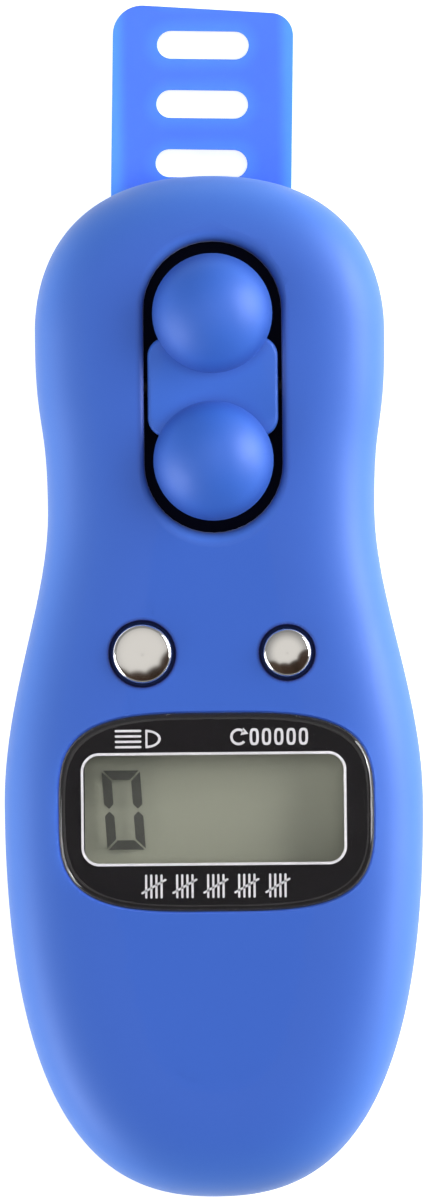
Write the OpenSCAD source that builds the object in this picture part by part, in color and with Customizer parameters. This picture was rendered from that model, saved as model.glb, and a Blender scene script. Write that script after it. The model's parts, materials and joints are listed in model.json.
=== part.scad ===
// Digital tally counter: a palm-sized case with a two-way thumb rocker, two small chrome
// buttons, a five-digit liquid crystal display and a slotted finger strap on its back.
// It lies on its back: +Z out of the display, +Y towards the strap's free end.

/* [Case outline] */
// Length of the case
case_len = 80; // [79.5:0.5:84]
// Width of the head, across the rocker
head_w = 27.4; // [27:0.2:30]
// Head's widest line, down from the top end
head_drop = 12.6; // [12:0.2:14]
// Width of the waist
waist_w = 25.6; // [25.4:0.2:27]
// Waist's narrowest line, down from the top end
waist_drop = 26.2; // [25:0.2:28]
// Width of the belly, across the display
belly_w = 32.8; // [32.6:0.2:35]
// Belly's widest line, up from the bottom end
belly_rise = 30.8; // [29:0.2:33]
// Sideways pull of the top end's curve
top_pull = 14.2; // [12.5:0.1:14.4]
// Sideways pull of the bottom end's curve
bottom_pull = 6.2; // [5.6:0.1:6.8]
// Lengthways pull of the belly's curve towards the bottom end
belly_pull = 29; // [28:0.2:29.6]

/* [Case section] */
// Height of the case over its rest face
case_h = 13.2; // [13.2:0.1:15]
// Height of the parting line between the shells
part_z = 6.6; // [6.2:0.1:6.8]
// Reach of the front shell's edge roll
front_roll = 9; // [8.6:0.1:9.4]
// Reach of the back shell's edge roll
back_roll = 5; // [4.4:0.1:5.2]
// Wall at the sides
wall = 1.5; // [1.4:0.05:1.6]
// Wall under the front face
front_wall = 1.5; // [1.4:0.05:1.55]
// Wall of the back
back_wall = 1.4; // [1.3:0.05:1.6]
// Height of the lip that locates the shells
lip_h = 0.9; // [0.6:0.05:1]
// Open seam line round the case
seam_gap = 0.12; // [0.08:0.02:0.2]

/* [Thumb rocker] */
// Rocker's centre, down from the top end
rocker_drop = 16.6; // [16.4:0.1:17]
// Rocker's centre, from the middle line
rocker_x = 0.22; // [0:0.02:0.3]
// Width of the rocker's plate
rocker_w = 10.2; // [9.8:0.1:10.4]
// Each dome's centre, from the rocker's centre
dome_arm = 5.75; // [5.65:0.05:5.9]
// Diameter of each dome
dome_d = 9.32; // [9.2:0.02:9.6]
// Height of each dome over the plate
dome_h = 3.2; // [2.6:0.1:3.6]
// Plate's top, under the top of the case
plate_drop = 0.2; // [0:0.05:0.4]
// Wall of the rocker
rocker_wall = 1.1; // [0.9:0.05:1.2]
// Gap between the plate's side and the case
rocker_gap = 0.3; // [0.25:0.05:0.4]
// Gap past the end of each dome
rocker_end_gap = 0.97; // [0.85:0.02:1.05]
// Half the length over which the plate is wider than the domes
plate_arm = 3.9; // [3.8:0.1:4.2]
// Corner radius of that wider stretch
plate_corner = 1.5; // [1.3:0.1:1.6]
// Softened edge of the opening, at its sides
opening_side_round = 0.5; // [0.3:0.05:0.7]
// Softened edge of the opening, at its ends
opening_end_round = 1.4; // [1:0.05:1.5]
// Diameter of the rocker's steel pin
rocker_pin_d = 1.5; // [1.3:0.05:1.6]
// Pin's centre, under the top of the case
rocker_pin_drop = 3; // [2.9:0.05:3.1]

/* [Chrome buttons] */
// Both buttons' centre, down from the top end
button_drop = 37.4; // [37:0.1:37.6]
// Lamp button's centre, from the middle line
lamp_x = -5.48; // [-6:0.02:-5.2]
// Lamp button's diameter
lamp_d = 4.7; // [4.2:0.05:4.8]
// Reset button's centre, from the middle line
reset_x = 5.84; // [5.4:0.02:6.2]
// Reset button's diameter
reset_d = 3.85; // [3.4:0.05:4.2]
// Buttons' height over the case
button_rise = 0.75; // [0.5:0.05:0.9]
// Gap round each button
button_gap = 0.3; // [0.2:0.02:0.32]
// Travel of the buttons
button_travel = 0.35; // [0.25:0.01:0.4]

/* [Display] */
// Display's centre, up from the bottom end
lens_rise = 30.2; // [30:0.1:30.4]
// Display's centre, from the middle line
lens_x = 0.19; // [0:0.01:0.3]
// Width of the lens
lens_w = 24.68; // [24:0.02:25]
// Height of the lens
lens_len = 15.58; // [15.2:0.02:15.8]
// Squareness of the lens outline
lens_power = 3.5; // [3:0.1:4]
// Thickness of the lens
lens_t = 1.25; // [1.1:0.05:1.4]
// Depth of the lens pocket under the top of the case
pocket_depth = 0.8; // [0.7:0.05:0.85]
// Width of the clear window
window_w = 20.35; // [19.8:0.05:20.4]
// Height of the clear window
window_len = 8.54; // [8.2:0.02:8.6]
// Width of the printed line round the window
line_w = 0.42; // [0.3:0.02:0.45]
// Window's centre above the lens's centre
window_up = 0.2; // [0:0.02:0.25]
// Width of the display glass
glass_w = 22.4; // [21.8:0.1:22.4]
// Height of the front glass
glass_len = 12.8; // [12.6:0.1:12.9]
// Thickness of each display glass
glass_t = 0.55; // [0.5:0.05:0.6]
// Height of a digit
digit_h = 6.2; // [5.8:0.1:6.4]
// Width of a digit
digit_w = 3; // [2.8:0.1:3.2]
// Width of a segment
segment_w = 0.74; // [0.6:0.02:0.8]
// Digit's centre, from the middle line
digit_x = -7.05; // [-7.3:0.05:-6.8]

/* [Circuit board] */
// Thickness of the circuit board
board_t = 1; // [0.8:0.1:1]
// Underside of the circuit board, under the top of the case
board_drop = 6.2; // [6.2:0.05:6.4]
// Gap between the board's edge and the wall
board_gap = 0.7; // [0.6:0.05:0.9]
// Side of a push switch
switch_w = 5.2; // [4.6:0.1:5.2]
// Height of a push switch's housing
switch_h = 2.3; // [2.2:0.05:2.4]
// Diameter of a push switch's stem
stem_d = 3.4; // [3:0.1:3.5]
// Stem's height over its housing
stem_rise = 0.7; // [0.65:0.05:0.75]

/* [Coin cell and door] */
// Cell's centre, up from the bottom end
cell_rise = 21; // [20.8:0.1:21.2]
// Diameter of the coin cell
cell_d = 20; // [19:0.1:20]
// Thickness of the coin cell
cell_t = 3.2; // [2.5:0.1:3.2]
// Overlap of the door on its ledge
door_ledge = 1.3; // [1:0.05:1.4]
// Thickness of the door
door_t = 1.25; // [1.1:0.05:1.3]
// Door screw's centre, from the cell's centre
door_screw_arm = 13.2; // [13:0.1:13.4]

/* [Screws] */
// Shank of a case screw
screw_d = 1.6; // [1.4:0.05:1.8]
// Head of a case screw
screw_head_d = 3; // [2.6:0.1:3.1]
// Screws' centre, in from the head's side
screw_inset = 3.4; // [3.3:0.05:3.5]
// Lower screws' centre, from the middle line
low_screw_x = 9.4; // [9.2:0.1:9.6]
// Lower screws' centre, up from the bottom end
low_screw_rise = 9.2; // [9:0.1:9.4]

/* [Finger strap] */
// Width of the strap
strap_w = 14.2; // [13.6:0.1:14.6]
// Thickness of the strap
strap_t = 1.2; // [1:0.05:1.3]
// Middle of the strap's free end, past the top of the case
strap_reach = 13.25; // [12:0.25:16]
// Radius of the strap's free corner on the left
strap_corner = 2.3; // [1.5:0.1:3]
// Radius of the strap's free corner on the right
strap_corner_right = 1.8; // [1.5:0.1:3]
// Slope of the strap's cut end, in degrees
strap_cut = 2.6; // [0:0.2:4]
// Angle by which the strap's free end lies askew, in degrees
strap_skew = 1.2; // [0:0.2:1.6]
// Strap's centre line, from the middle line
strap_x = -0.55; // [-0.6:0.05:0]
// Length of a slot
slot_w = 7.2; // [6.4:0.1:7.6]
// Width of a slot
slot_h = 2.2; // [2.1:0.02:2.4]
// Distance from one slot to the next
slot_pitch = 4.656; // [4.5:0.002:4.8]
// First slot's centre, in from the free end
slot_first = 2.84; // [2.8:0.02:3.2]
// Number of slots
slot_count = 8; // [6:1:9]
// Spring bar's centre, down from the top end
strap_drop = 43; // [42.6:0.1:43.2]
// Diameter of the spring bar
bar_d = 1.5; // [1.3:0.05:1.6]

/* [Hidden] */
$fn = 48;

// A hair of overlap or play, for clean cuts
eps = 0.02;
// Play between parts that slide into each other
slide_play = 0.05;
// Play between parts that are laid in place
seat_play = 0.12;
// Length of the cutters, past any wall
far = 30;
// Start of the cutters, outside what they cut
past = 1;
// Depth that standing parts sink into the wall they stand on
root = 0.4;
// Play of a screw in the holes it passes through
screw_play = 0.2;

top_y = case_len / 2;
bottom_y = -case_len / 2;
board_z = case_h - board_drop;
// The frame's origin is the middle of the whole length, strap included
case_y = -strap_reach / 2;

// Squareness of the edge rolls
front_power = 3;
back_power = 2.5;
roll_steps = 9;

head = [head_w / 2, top_y - head_drop];
waist = [waist_w / 2, top_y - waist_drop];
belly = [belly_w / 2, bottom_y + belly_rise];
head_pull = 1.2;
neck_pull = 7.5;
waist_pull = 7;
hip_pull = 8.6;

// Right side of the outline, from the top end to the bottom end: start, two pulls, end, steps
curves = [
    [[0, top_y], [top_pull, top_y], head + [0, head_pull], head, 12],
    [head, head - [0, neck_pull], waist + [0, neck_pull], waist, 7],
    [waist, waist - [0, waist_pull], belly + [0, hip_pull], belly, 8],
    [belly, belly - [0, belly_pull], [bottom_pull, bottom_y], [0, bottom_y], 15]
];

function cubic(c, t) =
    pow(1 - t, 3) * c[0] + 3 * pow(1 - t, 2) * t * c[1]
    + 3 * (1 - t) * t * t * c[2] + pow(t, 3) * c[3];
function cubic_slope(c, t) =
    pow(1 - t, 2) * (c[1] - c[0]) + 2 * (1 - t) * t * (c[2] - c[1])
    + t * t * (c[3] - c[2]);
function outward(v) = [-v.y, v.x] / norm(v);

side_points = concat(
    [for (c = curves) for (i = [0:c[4] - 1]) cubic(c, i / c[4])],
    [[0, bottom_y]]);
side_normals = concat(
    [for (c = curves) for (i = [0:c[4] - 1]) outward(cubic_slope(c, i / c[4]))],
    [[0, -1]]);
side_last = len(side_points) - 1;

// The outline moved inwards by d, clockwise from the top end
function inset_outline(d) =
    let (side = [for (i = [0:side_last]) side_points[i] - d * side_normals[i]])
    concat(side, [for (i = [side_last - 1:-1:1]) [-side[i].x, side[i].y]]);

function inset_ring(d, z) = [for (p = inset_outline(d)) [p.x, p.y, z]];

// Share of the full height at share t of an edge roll's reach
function roll(t, power) = pow(1 - pow(1 - min(t, 1), power), 1 / power);
// Share of the reach at step i of n, from the flat (0) to the side (n)
function roll_step(i, n, power) = 1 - pow(sin(90 * i / n), 2 / power);

// Distance from a point to the case's outline
function gap_to(p, a, b) =
    let (ab = b - a, t = max(0, min(1, (p - a) * ab / (ab * ab))))
    norm(p - a - t * ab);
function edge_distance(p) =
    let (q = [abs(p.x), p.y])
    min([for (i = [0:side_last - 1]) gap_to(q, side_points[i], side_points[i + 1])]);
// Height of the front shell's outer face over a point
function front_z(p) = part_z + (case_h - part_z) * roll(edge_distance(p) / front_roll, front_power);

// Skin over a list of rings that all run clockwise, first ring facing up
module skin(rings) {
    n = len(rings[0]);
    last = len(rings) - 1;
    polyhedron(
        points = [for (r = rings) for (p = r) p],
        faces = concat(
            [[for (i = [0:n - 1]) i]],
            [for (k = [0:last - 1]) for (i = [0:n - 1])
                [k * n + (i + 1) % n, k * n + i, (k + 1) * n + i]],
            [for (k = [0:last - 1]) for (i = [0:n - 1])
                [k * n + (i + 1) % n, (k + 1) * n + i, (k + 1) * n + (i + 1) % n]],
            [[for (i = [n - 1:-1:0]) last * n + i]]),
        convexity = 8);
}

module at_case() translate([0, case_y, 0]) children();
module at_rocker() translate([rocker_x, rocker_y, 0]) children();
module at_lens() translate([lens_x, bottom_y + lens_rise, 0]) children();
module at_window() at_lens() translate([0, window_up, 0]) children();
module at_cell() translate([0, bottom_y + cell_rise, 0]) children();
module both_sides() {
    children();
    mirror([1, 0, 0]) children();
}

// Bar along X, centred on its own point
module cross_bar(d, length) rotate([0, 90, 0]) cylinder(d = d, h = length, center = true);
module slab(size, z) translate([-size.x / 2, -size.y / 2, z]) cube([size.x, size.y, size.z]);
module ring_bar(outer, inner, z, h) {
    difference() {
        translate([0, 0, z]) cylinder(r = outer, h = h);
        translate([0, 0, z - eps]) cylinder(r = inner, h = h + 2 * eps);
    }
}
// Rectangle with round corners
module soft_rect(w, l, r) {
    square([w - 2 * r, l], center = true);
    square([w, l - 2 * r], center = true);
    for (x = [-1, 1]) {
        for (y = [-1, 1]) {
            translate([x * (w / 2 - r), y * (l / 2 - r)]) circle(r = r, $fn = 32);
        }
    }
}

/* Shells */
lip_w = 0.75;
lip_play = 0.1;
inner_base = part_z + lip_h + lip_play;
ceiling_z = case_h - front_wall;
front_roll_less = 1.5;
back_roll_less = 0.5;
inner_roll = front_roll - front_roll_less;
inner_steps = 6;

// The rolls stop this far short of each flat, and a plane trims their lofts there
crest = 0.003;
trim_lead = 0.4;

// Rings of an edge roll from its flat to its side, which turns up or down by the height's sign
function roll_rings(inset, reach, z_side, height, steps, power) =
    let (rise = height - sign(height) * crest)
    concat(
        [inset_ring(inset + reach + trim_lead, z_side + height + 2 * sign(height) * crest)],
        [for (i = [0:steps - 1]) let (t = roll_step(i, steps, power))
            inset_ring(inset + reach * t, z_side + rise * roll(t, power))],
        [inset_ring(inset, z_side - sign(height) * past / 2)]);
function reversed(list) = [for (i = [len(list) - 1:-1:0]) list[i]];

// Part of a loft between two level planes
module between(low, high) intersection() {
    children();
    slab([2 * case_len, 2 * case_len, high - low], low);
}
module outline_prism(inset, low, high)
    translate([0, 0, low]) linear_extrude(high - low) polygon(inset_outline(inset));

module front_wall_solid() difference() {
    between(part_z, case_h) skin(roll_rings(0, front_roll, part_z, case_h - part_z, roll_steps, front_power));
    outline_prism(lip_w, part_z - 2 * past, inner_base);
    between(part_z - past, ceiling_z) skin(concat(
        roll_rings(wall, inner_roll, inner_base, ceiling_z - inner_base, inner_steps, front_power),
        [inset_ring(wall, part_z - 3 * past)]));
}

back_top = part_z - seam_gap;
floor_roll = back_roll - back_roll_less;
module back_wall_solid() difference() {
    between(0, part_z + lip_h) skin(concat(
        [inset_ring(0, part_z + lip_h + past)],
        reversed(roll_rings(0, back_roll, back_top, -back_top, roll_steps, back_power))));
    between(back_wall, far) skin(concat(
        [inset_ring(wall, part_z + lip_h + past)],
        reversed(roll_rings(wall, floor_roll, back_top, back_wall - back_top, inner_steps, back_power))));
    difference() {
        slab([2 * case_len, 2 * case_len, far], back_top);
        outline_prism(lip_w + lip_play, part_z - 2 * past, far + 2 * past);
    }
}

screw_spots = [[head.x - screw_inset, head.y], [low_screw_x, bottom_y + low_screw_rise]];
boss_wall = 0.8;
boss_r = screw_d / 2 + boss_wall;
post_top = 5;
boss_drop = 0.3;
boss_top = ceiling_z - boss_drop;
screw_seat = 1.9;
screw_head_t = 1;
seat_wall = 0.8;
seat_r = screw_head_d / 2 + seat_wall;
seat_floor = 0.8;
screw_end_drop = 2;
screw_end = boss_top - screw_end_drop;
screw_spare = 0.4;

module at_screws() both_sides() for (s = screw_spots) translate(s) children();

rocker_y = top_y - rocker_drop;
plate_z = case_h - plate_drop;
rocker_pin_z = case_h - rocker_pin_drop;
skirt_gap = 1;
skirt_z = board_z + board_t + skirt_gap;
opening_r = rocker_w / 2 + rocker_gap;
opening_arm = dome_arm + dome_d / 2 + rocker_end_gap - opening_r;
ear_t = 1.75;
ear_gap = 0.45;
ear_wall = 1.05;
ear_r = rocker_pin_d / 2 + ear_wall;
ear_x = rocker_w / 2 + ear_gap;
pin_end_gap = 0.1;
pin_len = 2 * (ear_x + ear_t - pin_end_gap);

// Directions round the opening, clockwise from its top: end's side and angle
opening_step = 9;
opening_turns = concat(
    [for (a = [90:-opening_step:0]) [1, a]],
    [for (a = [0:-opening_step:-180]) [-1, a]],
    [for (a = [180:-opening_step:90 + opening_step]) [1, a]]);
function opening_point(turn, out) =
    [rocker_x + out * cos(turn[1]), rocker_y + turn[0] * opening_arm + out * sin(turn[1])];
function opening_round(turn) =
    opening_side_round + (opening_end_round - opening_side_round) * abs(sin(turn[1]));
// Point on the rounded edge, at angle a of its quarter turn
function opening_edge(turn, a) =
    let (f = opening_round(turn), p = opening_point(turn, opening_r + f * (1 - cos(a))))
    [p.x, p.y, front_z(p) - f * (1 - sin(a))];
function opening_wall(turn, out, z) =
    let (p = opening_point(turn, out))
    [p.x, p.y, z];

// Rise of the plug's rim over the case's face, and its flare above that
plug_rise = 0.1;
plug_flare = 1.1;
// Plug that cuts the rocker's opening and rolls the case's face down into it
module opening_cutter() {
    skin(concat(
        [[for (t = opening_turns)
            opening_wall(t, opening_r + opening_round(t) * plug_flare, case_h + 2 * past)]],
        [[for (t = opening_turns)
            let (p = opening_point(t, opening_r + opening_round(t))) [p.x, p.y, front_z(p) + plug_rise]]],
        [for (a = [78:-13:0]) [for (t = opening_turns) opening_edge(t, a)]],
        [[for (t = opening_turns) opening_wall(t, opening_r, skirt_z)]]));
}

lens_pocket_z = case_h - pocket_depth;
function lens_outline(grow) =
    [for (a = [0:-6:-354])
        let (c = cos(a), s = sin(a), k = 2 / lens_power)
        [sign(c) * pow(abs(c), k) * (lens_w / 2 + grow),
         sign(s) * pow(abs(s), k) * (lens_len / 2 + grow)]];

window_margin = 0.5;
shell_window = [window_w + 2 * window_margin, window_len + 2 * window_margin];
button_y = top_y - button_drop;

module front_shell() color("royalblue") at_case() difference() {
    union() {
        front_wall_solid();
        at_screws() translate([0, 0, post_top]) cylinder(r = boss_r, h = boss_top - post_top);
        at_rocker() both_sides() rocker_ear();
    }
    opening_cutter();
    at_lens() translate([0, 0, lens_pocket_z]) linear_extrude(far) polygon(lens_outline(seat_play));
    at_window() slab([shell_window.x, shell_window.y, far], part_z);
    translate([lamp_x, button_y, part_z]) cylinder(d = lamp_d + 2 * button_gap, h = far);
    translate([reset_x, button_y, part_z]) cylinder(d = reset_d + 2 * button_gap, h = far);
    at_screws() translate([0, 0, post_top - past])
        cylinder(d = screw_d + eps, h = screw_end + screw_spare - post_top + past);
    at_rocker() translate([0, 0, rocker_pin_z]) cross_bar(rocker_pin_d + eps, pin_len + past);
}

// Ear that hangs from the front shell and holds one end of the rocker's pin
module rocker_ear() {
    translate([ear_x, -ear_r, rocker_pin_z]) cube([ear_t, 2 * ear_r, ceiling_z + root - rocker_pin_z]);
    translate([ear_x + ear_t / 2, 0, rocker_pin_z]) cross_bar(2 * ear_r, ear_t);
}

bar_z = 1.8;
eye_wall = 0.8;
eye_r = bar_d / 2 + slide_play + eye_wall;
channel_gap = 0.2;
channel_z = bar_z + channel_gap;
channel_play = 0.55;
channel_w = strap_w + 2 * channel_play;
tray_t = 1.2;
tray_z = channel_z + tray_t;
bar_y = top_y - strap_drop;
pocket_front = 1.9;
pocket_back = 2.1;
eye_gap = 0.25;
pocket_z = bar_z + eye_r + eye_gap;
pocket_roof = 0.9;
pocket_end = 1;
cheek_w = 2.4;
bar_seat = 1.5;
bar_len = channel_w + 2 * bar_seat;
hook_row = 5;
hook_w = 5;
hook_post = 1;
hook_lip = 0.75;
hook_z = 0.05;
hook_play = 0.1;
slot_rows = [for (i = [0:slot_count - 1]) top_y + strap_reach - slot_first - i * slot_pitch];
hook_y = slot_rows[hook_row - 1];

cell_play = 0.3;
well_r = cell_d / 2 + cell_play;
door_r = well_r + door_ledge;
door_ear_r = 3.1;
well_wall = 1.15;
cell_gap = 0.25;
cell_z = door_t + cell_gap;
well_lip = 0.2;
well_top = cell_z + cell_t + well_lip;
clip_w = 4;
clip_play = 0.3;
clip_slot = 2;
door_boss_r = 2.2;
door_boss_top = 5;
door_hole_top = 4.4;
door_seat_gap = 0.1;
door_seat_z = door_t + door_seat_gap;

module door_outline(grow) hull() {
    circle(r = door_r + grow, $fn = 96);
    translate([0, -door_screw_arm]) circle(r = door_ear_r + grow, $fn = 32);
}

// Hook under the strap's fifth slot: a post with a lip that faces the free end
module strap_hook() translate([strap_x, hook_y, 0]) {
    translate([-hook_w / 2, -(hook_post + hook_lip) / 2, hook_z]) cube([hook_w, hook_post, channel_z]);
    translate([-hook_w / 2, -(hook_post + hook_lip) / 2, hook_z])
        cube([hook_w, hook_post + hook_lip, bar_z - strap_t - hook_play - hook_z]);
}

post_r = 1.2;
post_pin_r = 0.55;
post_pin_rise = 0.3;
post_x = 9.8;
post_drop = 32;
low_post_x = 6;
low_post_rise = 5;
pin_posts = [[post_x, top_y - post_drop]];
board_posts = concat(pin_posts, [[low_post_x, bottom_y + low_post_rise]]);

module back_shell() color("royalblue") at_case() {
    difference() {
        union() {
            back_wall_solid();
            both_sides() for (p = board_posts) translate([p.x, p.y, back_wall - root])
                cylinder(r = post_r, h = board_z - back_wall + root);
            both_sides() for (p = pin_posts) translate([p.x, p.y, back_wall])
                cylinder(r = post_pin_r, h = board_z + board_t + post_pin_rise - back_wall);
            inside_wall(wall) screw_posts();
            inside_wall(wall - 0.2) strap_tray();
            at_cell() ring_bar(door_r + well_wall, well_r, back_wall - root, well_top - back_wall + root);
            at_cell() translate([0, -door_screw_arm, back_wall - root])
                cylinder(r = door_boss_r, h = door_boss_top - back_wall + root);
        }
        translate([strap_x - channel_w / 2, bar_y + pocket_front - past, -past])
            cube([channel_w, far * 2, channel_z + past]);
        translate([strap_x - channel_w / 2, bar_y - pocket_back, -past])
            cube([channel_w, pocket_front + pocket_back, pocket_z + past]);
        translate([strap_x, bar_y, bar_z]) cross_bar(bar_d + eps, bar_len);
        at_cell() translate([0, 0, -past]) cylinder(r = well_r, h = far);
        at_cell() translate([0, 0, -past]) linear_extrude(door_seat_z + past) door_outline(seat_play);
        at_cell() translate([0, -door_screw_arm, 0]) cylinder(d = screw_d + eps, h = door_hole_top);
        at_cell() translate([well_r - clip_slot / 2, -clip_w / 2 - clip_play, door_seat_z])
            cube([clip_slot, clip_w + 2 * clip_play, far]);
        at_screws() translate([0, 0, -past]) cylinder(d = screw_head_d + screw_play, h = screw_seat + past);
        at_screws() cylinder(d = screw_d + screw_play, h = post_top + past);
    }
    strap_hook();
}

// Keeps what stands on the back inside the case's wall
module inside_wall(inset) intersection() {
    children();
    linear_extrude(far) polygon(inset_outline(inset));
}
// Posts that the case screws pass through, wide round their heads
module screw_posts() at_screws() translate([0, 0, back_wall - eps]) {
    cylinder(r = boss_r, h = post_top - back_wall + eps);
    cylinder(r = seat_r, h = screw_seat + seat_floor - back_wall);
}
// Raised floor over the strap's channel, with cheeks that hold the spring bar
module strap_tray() translate([strap_x, 0, back_wall - eps]) {
    translate([-channel_w / 2 - tray_t, bar_y, 0])
        cube([channel_w + 2 * tray_t, case_len, tray_z - back_wall + eps]);
    translate([-channel_w / 2 - cheek_w, bar_y - pocket_back - pocket_end, 0])
        cube([channel_w + 2 * cheek_w, pocket_front + pocket_back + 2 * pocket_end,
            pocket_z + pocket_roof - back_wall]);
}

/* Rocker */
plate_round = 0.3;
foot_r = 1.2;
foot_gap = 0.05;
stem_top = board_z + board_t + switch_h + stem_rise;
dome_r = (pow(dome_d / 2, 2) + dome_h * dome_h) / (2 * dome_h);
dome_z = plate_z + dome_h - dome_r;
hollow_wall = 0.78;
hollow_r = dome_d / 2 - hollow_wall;
neck_r = sqrt(hollow_r * hollow_r - pow(dome_arm - plate_arm, 2));
dome_sink = 0.1;

// Profile drawn straight along Y, with its mirror image
module straight_bar(profile, length) rotate([90, 0, 0]) linear_extrude(length, center = true) {
    polygon(profile);
    mirror([1, 0]) polygon(profile);
}
// Middle of the plate, wider than the domes, with round corners
module plate_middle() {
    arm = plate_arm - plate_corner;
    straight_bar(plate_profile(rocker_w / 2), 2 * arm);
    both_sides() for (y = [-arm, arm]) translate([rocker_w / 2 - plate_corner, y, 0])
        rotate_extrude() polygon(plate_profile(plate_corner));
}

function plate_profile(r) = concat(
    [[0, skirt_z], [r, skirt_z]],
    [for (a = [0:15:90]) [r - plate_round + plate_round * cos(a),
        plate_z - plate_round + plate_round * sin(a)]],
    [[0, plate_z]]);
function hollow_profile(r) = [[0, skirt_z - past], [r, skirt_z - past],
    [r, plate_z - rocker_wall], [0, plate_z - rocker_wall]];

module at_domes() for (y = [-dome_arm, dome_arm]) translate([0, y, 0]) children();
// Room under the plate: round under the domes, narrower where the plate has its neck
module rocker_hollow() {
    at_domes() rotate_extrude() polygon(hollow_profile(hollow_r));
    straight_bar(hollow_profile(neck_r), 2 * dome_arm);
    straight_bar(hollow_profile(rocker_w / 2 - rocker_wall), 2 * (plate_arm - plate_corner));
}
// Part of a sphere above a height
module cap_above(r, base, z) {
    intersection() {
        translate([0, 0, z]) sphere(r = r, $fn = 64);
        translate([0, 0, base]) cylinder(r = r + past, h = 2 * r);
    }
}

module rocker_key() color("cornflowerblue") at_case() at_rocker() {
    difference() {
        union() {
            at_domes() rotate_extrude() polygon(plate_profile(dome_d / 2));
            plate_middle();
            at_domes() cap_above(dome_r, plate_z - dome_sink, dome_z);
            both_sides() translate([rocker_w / 2 - rocker_wall / 2, 0, rocker_pin_z])
                cross_bar(2 * ear_r, rocker_wall);
        }
        rocker_hollow();
        at_domes() cap_above(dome_r - rocker_wall, plate_z - rocker_wall - dome_sink, dome_z);
        translate([0, 0, rocker_pin_z]) cross_bar(rocker_pin_d + 2 * slide_play, 2 * rocker_w);
    }
    at_domes() {
        translate([0, 0, stem_top + foot_gap + foot_r])
            cylinder(r = foot_r, h = plate_z + dome_h - rocker_wall - stem_top - foot_r);
        translate([0, 0, stem_top + foot_gap + foot_r]) sphere(r = foot_r);
    }
}

module rocker_pin() color("silver") at_case() at_rocker()
    translate([0, 0, rocker_pin_z]) cross_bar(rocker_pin_d, pin_len);

/* Switches and buttons */
board_top = board_z + board_t;
switch_top = board_top + switch_h;
stem_sink = 0.8;
stem_z = switch_top - stem_sink;
stem_room = 0.15;
switch_spots = [[rocker_x, rocker_y + dome_arm], [rocker_x, rocker_y - dome_arm],
    [lamp_x, button_y], [reset_x, button_y]];

module stem(spot) translate([spot.x, spot.y, stem_z]) cylinder(d = stem_d, h = stem_top - stem_z);

module count_up_stem() color("dimgray") at_case() stem(switch_spots[0]);
module count_down_stem() color("dimgray") at_case() stem(switch_spots[1]);
module lamp_stem() color("dimgray") at_case() stem(switch_spots[2]);
module reset_stem() color("dimgray") at_case() stem(switch_spots[3]);

module switch_housings() color("black") at_case() for (s = switch_spots) translate(s) difference() {
    slab([switch_w, switch_w, switch_h], board_top);
    translate([0, 0, stem_z - button_travel - stem_room]) cylinder(d = stem_d + 2 * slide_play, h = far);
}

leg_size = [0.2, 0.7, 1.2];
module switch_legs() color("silver") at_case() for (s = switch_spots) translate(s) {
    for (x = [-1, 1]) {
        for (y = [-1, 1]) {
            translate([x * (switch_w + leg_size.x) / 2, y * switch_w / 3, board_top + leg_size.z / 2])
                cube(leg_size, center = true);
        }
    }
}

flange_t = 0.5;
flange_out = 0.75;
cap_round = 0.5;
cap_crown = 0.25;
button_top = case_h + button_rise;

// Chrome cap: flange, straight side, rounded edge and a slightly crowned top
module button_cap(d) {
    r = d / 2;
    edge_z = button_top - cap_crown - cap_round;
    rotate_extrude() polygon(concat(
        [[0, stem_top], [r + flange_out, stem_top], [r + flange_out, stem_top + flange_t],
         [r, stem_top + flange_t]],
        [for (a = [0:15:75]) [r - cap_round + cap_round * cos(a), edge_z + cap_round * sin(a)]],
        [for (k = [1:-0.25:0]) [(r - cap_round) * k, button_top - cap_crown * k * k]]));
}

module lamp_button() color("gainsboro") at_case() translate([lamp_x, button_y, 0]) button_cap(lamp_d);
module reset_button() color("gainsboro") at_case() translate([reset_x, button_y, 0]) button_cap(reset_d);

/* Display stack, from the lens down to the board */
tape_t = 0.08;
mask_t = 0.08;
ink_t = 0.04;
tape_inset = 0.3;
tape_margin = 0.2;
mask_inset = 0.1;
gasket_play = 0.1;
mask_z = lens_pocket_z + tape_t;
line_z = mask_z + mask_t;
lens_z = line_z + ink_t;
lens_edge = 0.55;
window_r = 1.3;

function lens_ring_at(grow, z) = [for (p = lens_outline(grow)) [p.x, p.y, z]];

module display_lens() color("gray", 0.4) at_case() at_lens()
    skin(concat(
        [for (a = [90:-15:0]) lens_ring_at(-lens_edge * (1 - cos(a)),
            lens_z + lens_t - lens_edge * (1 - sin(a)))],
        [lens_ring_at(0, lens_z)]));

module mask_window(w, l, r) at_window() linear_extrude(far, center = true) soft_rect(w, l, r);

module display_mask() color("black") at_case() difference() {
    at_lens() translate([0, 0, mask_z]) linear_extrude(mask_t) polygon(lens_outline(-mask_inset));
    mask_window(window_w, window_len, window_r);
}

module display_line() color("white") at_case() intersection() {
    difference() {
        mask_window(window_w + 2 * line_w, window_len + 2 * line_w, window_r + line_w);
        mask_window(window_w, window_len, window_r);
    }
    at_lens() slab([lens_w, lens_len, ink_t], line_z);
}

module lens_tape() color("dimgray") at_case() difference() {
    at_lens() translate([0, 0, lens_pocket_z]) linear_extrude(tape_t) polygon(lens_outline(-tape_inset));
    at_window() slab([shell_window.x + 2 * tape_margin, shell_window.y + 2 * tape_margin, far], 0);
}

glass_ledge = 1.1;
rear_len = glass_len - 2 * glass_ledge;
crystal_t = 0.05;
film_lap = 0.6;
guide_t = 1.9;
foil_t = 0.15;
film_t = 0.15;
segment_t = 0.03;
reflector_z = board_top + guide_t;
rear_z = reflector_z + foil_t;
segment_z = rear_z + glass_t;
front_glass_z = segment_z + crystal_t;
film_z = front_glass_z + glass_t;
film_top = film_z + film_t;

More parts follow.
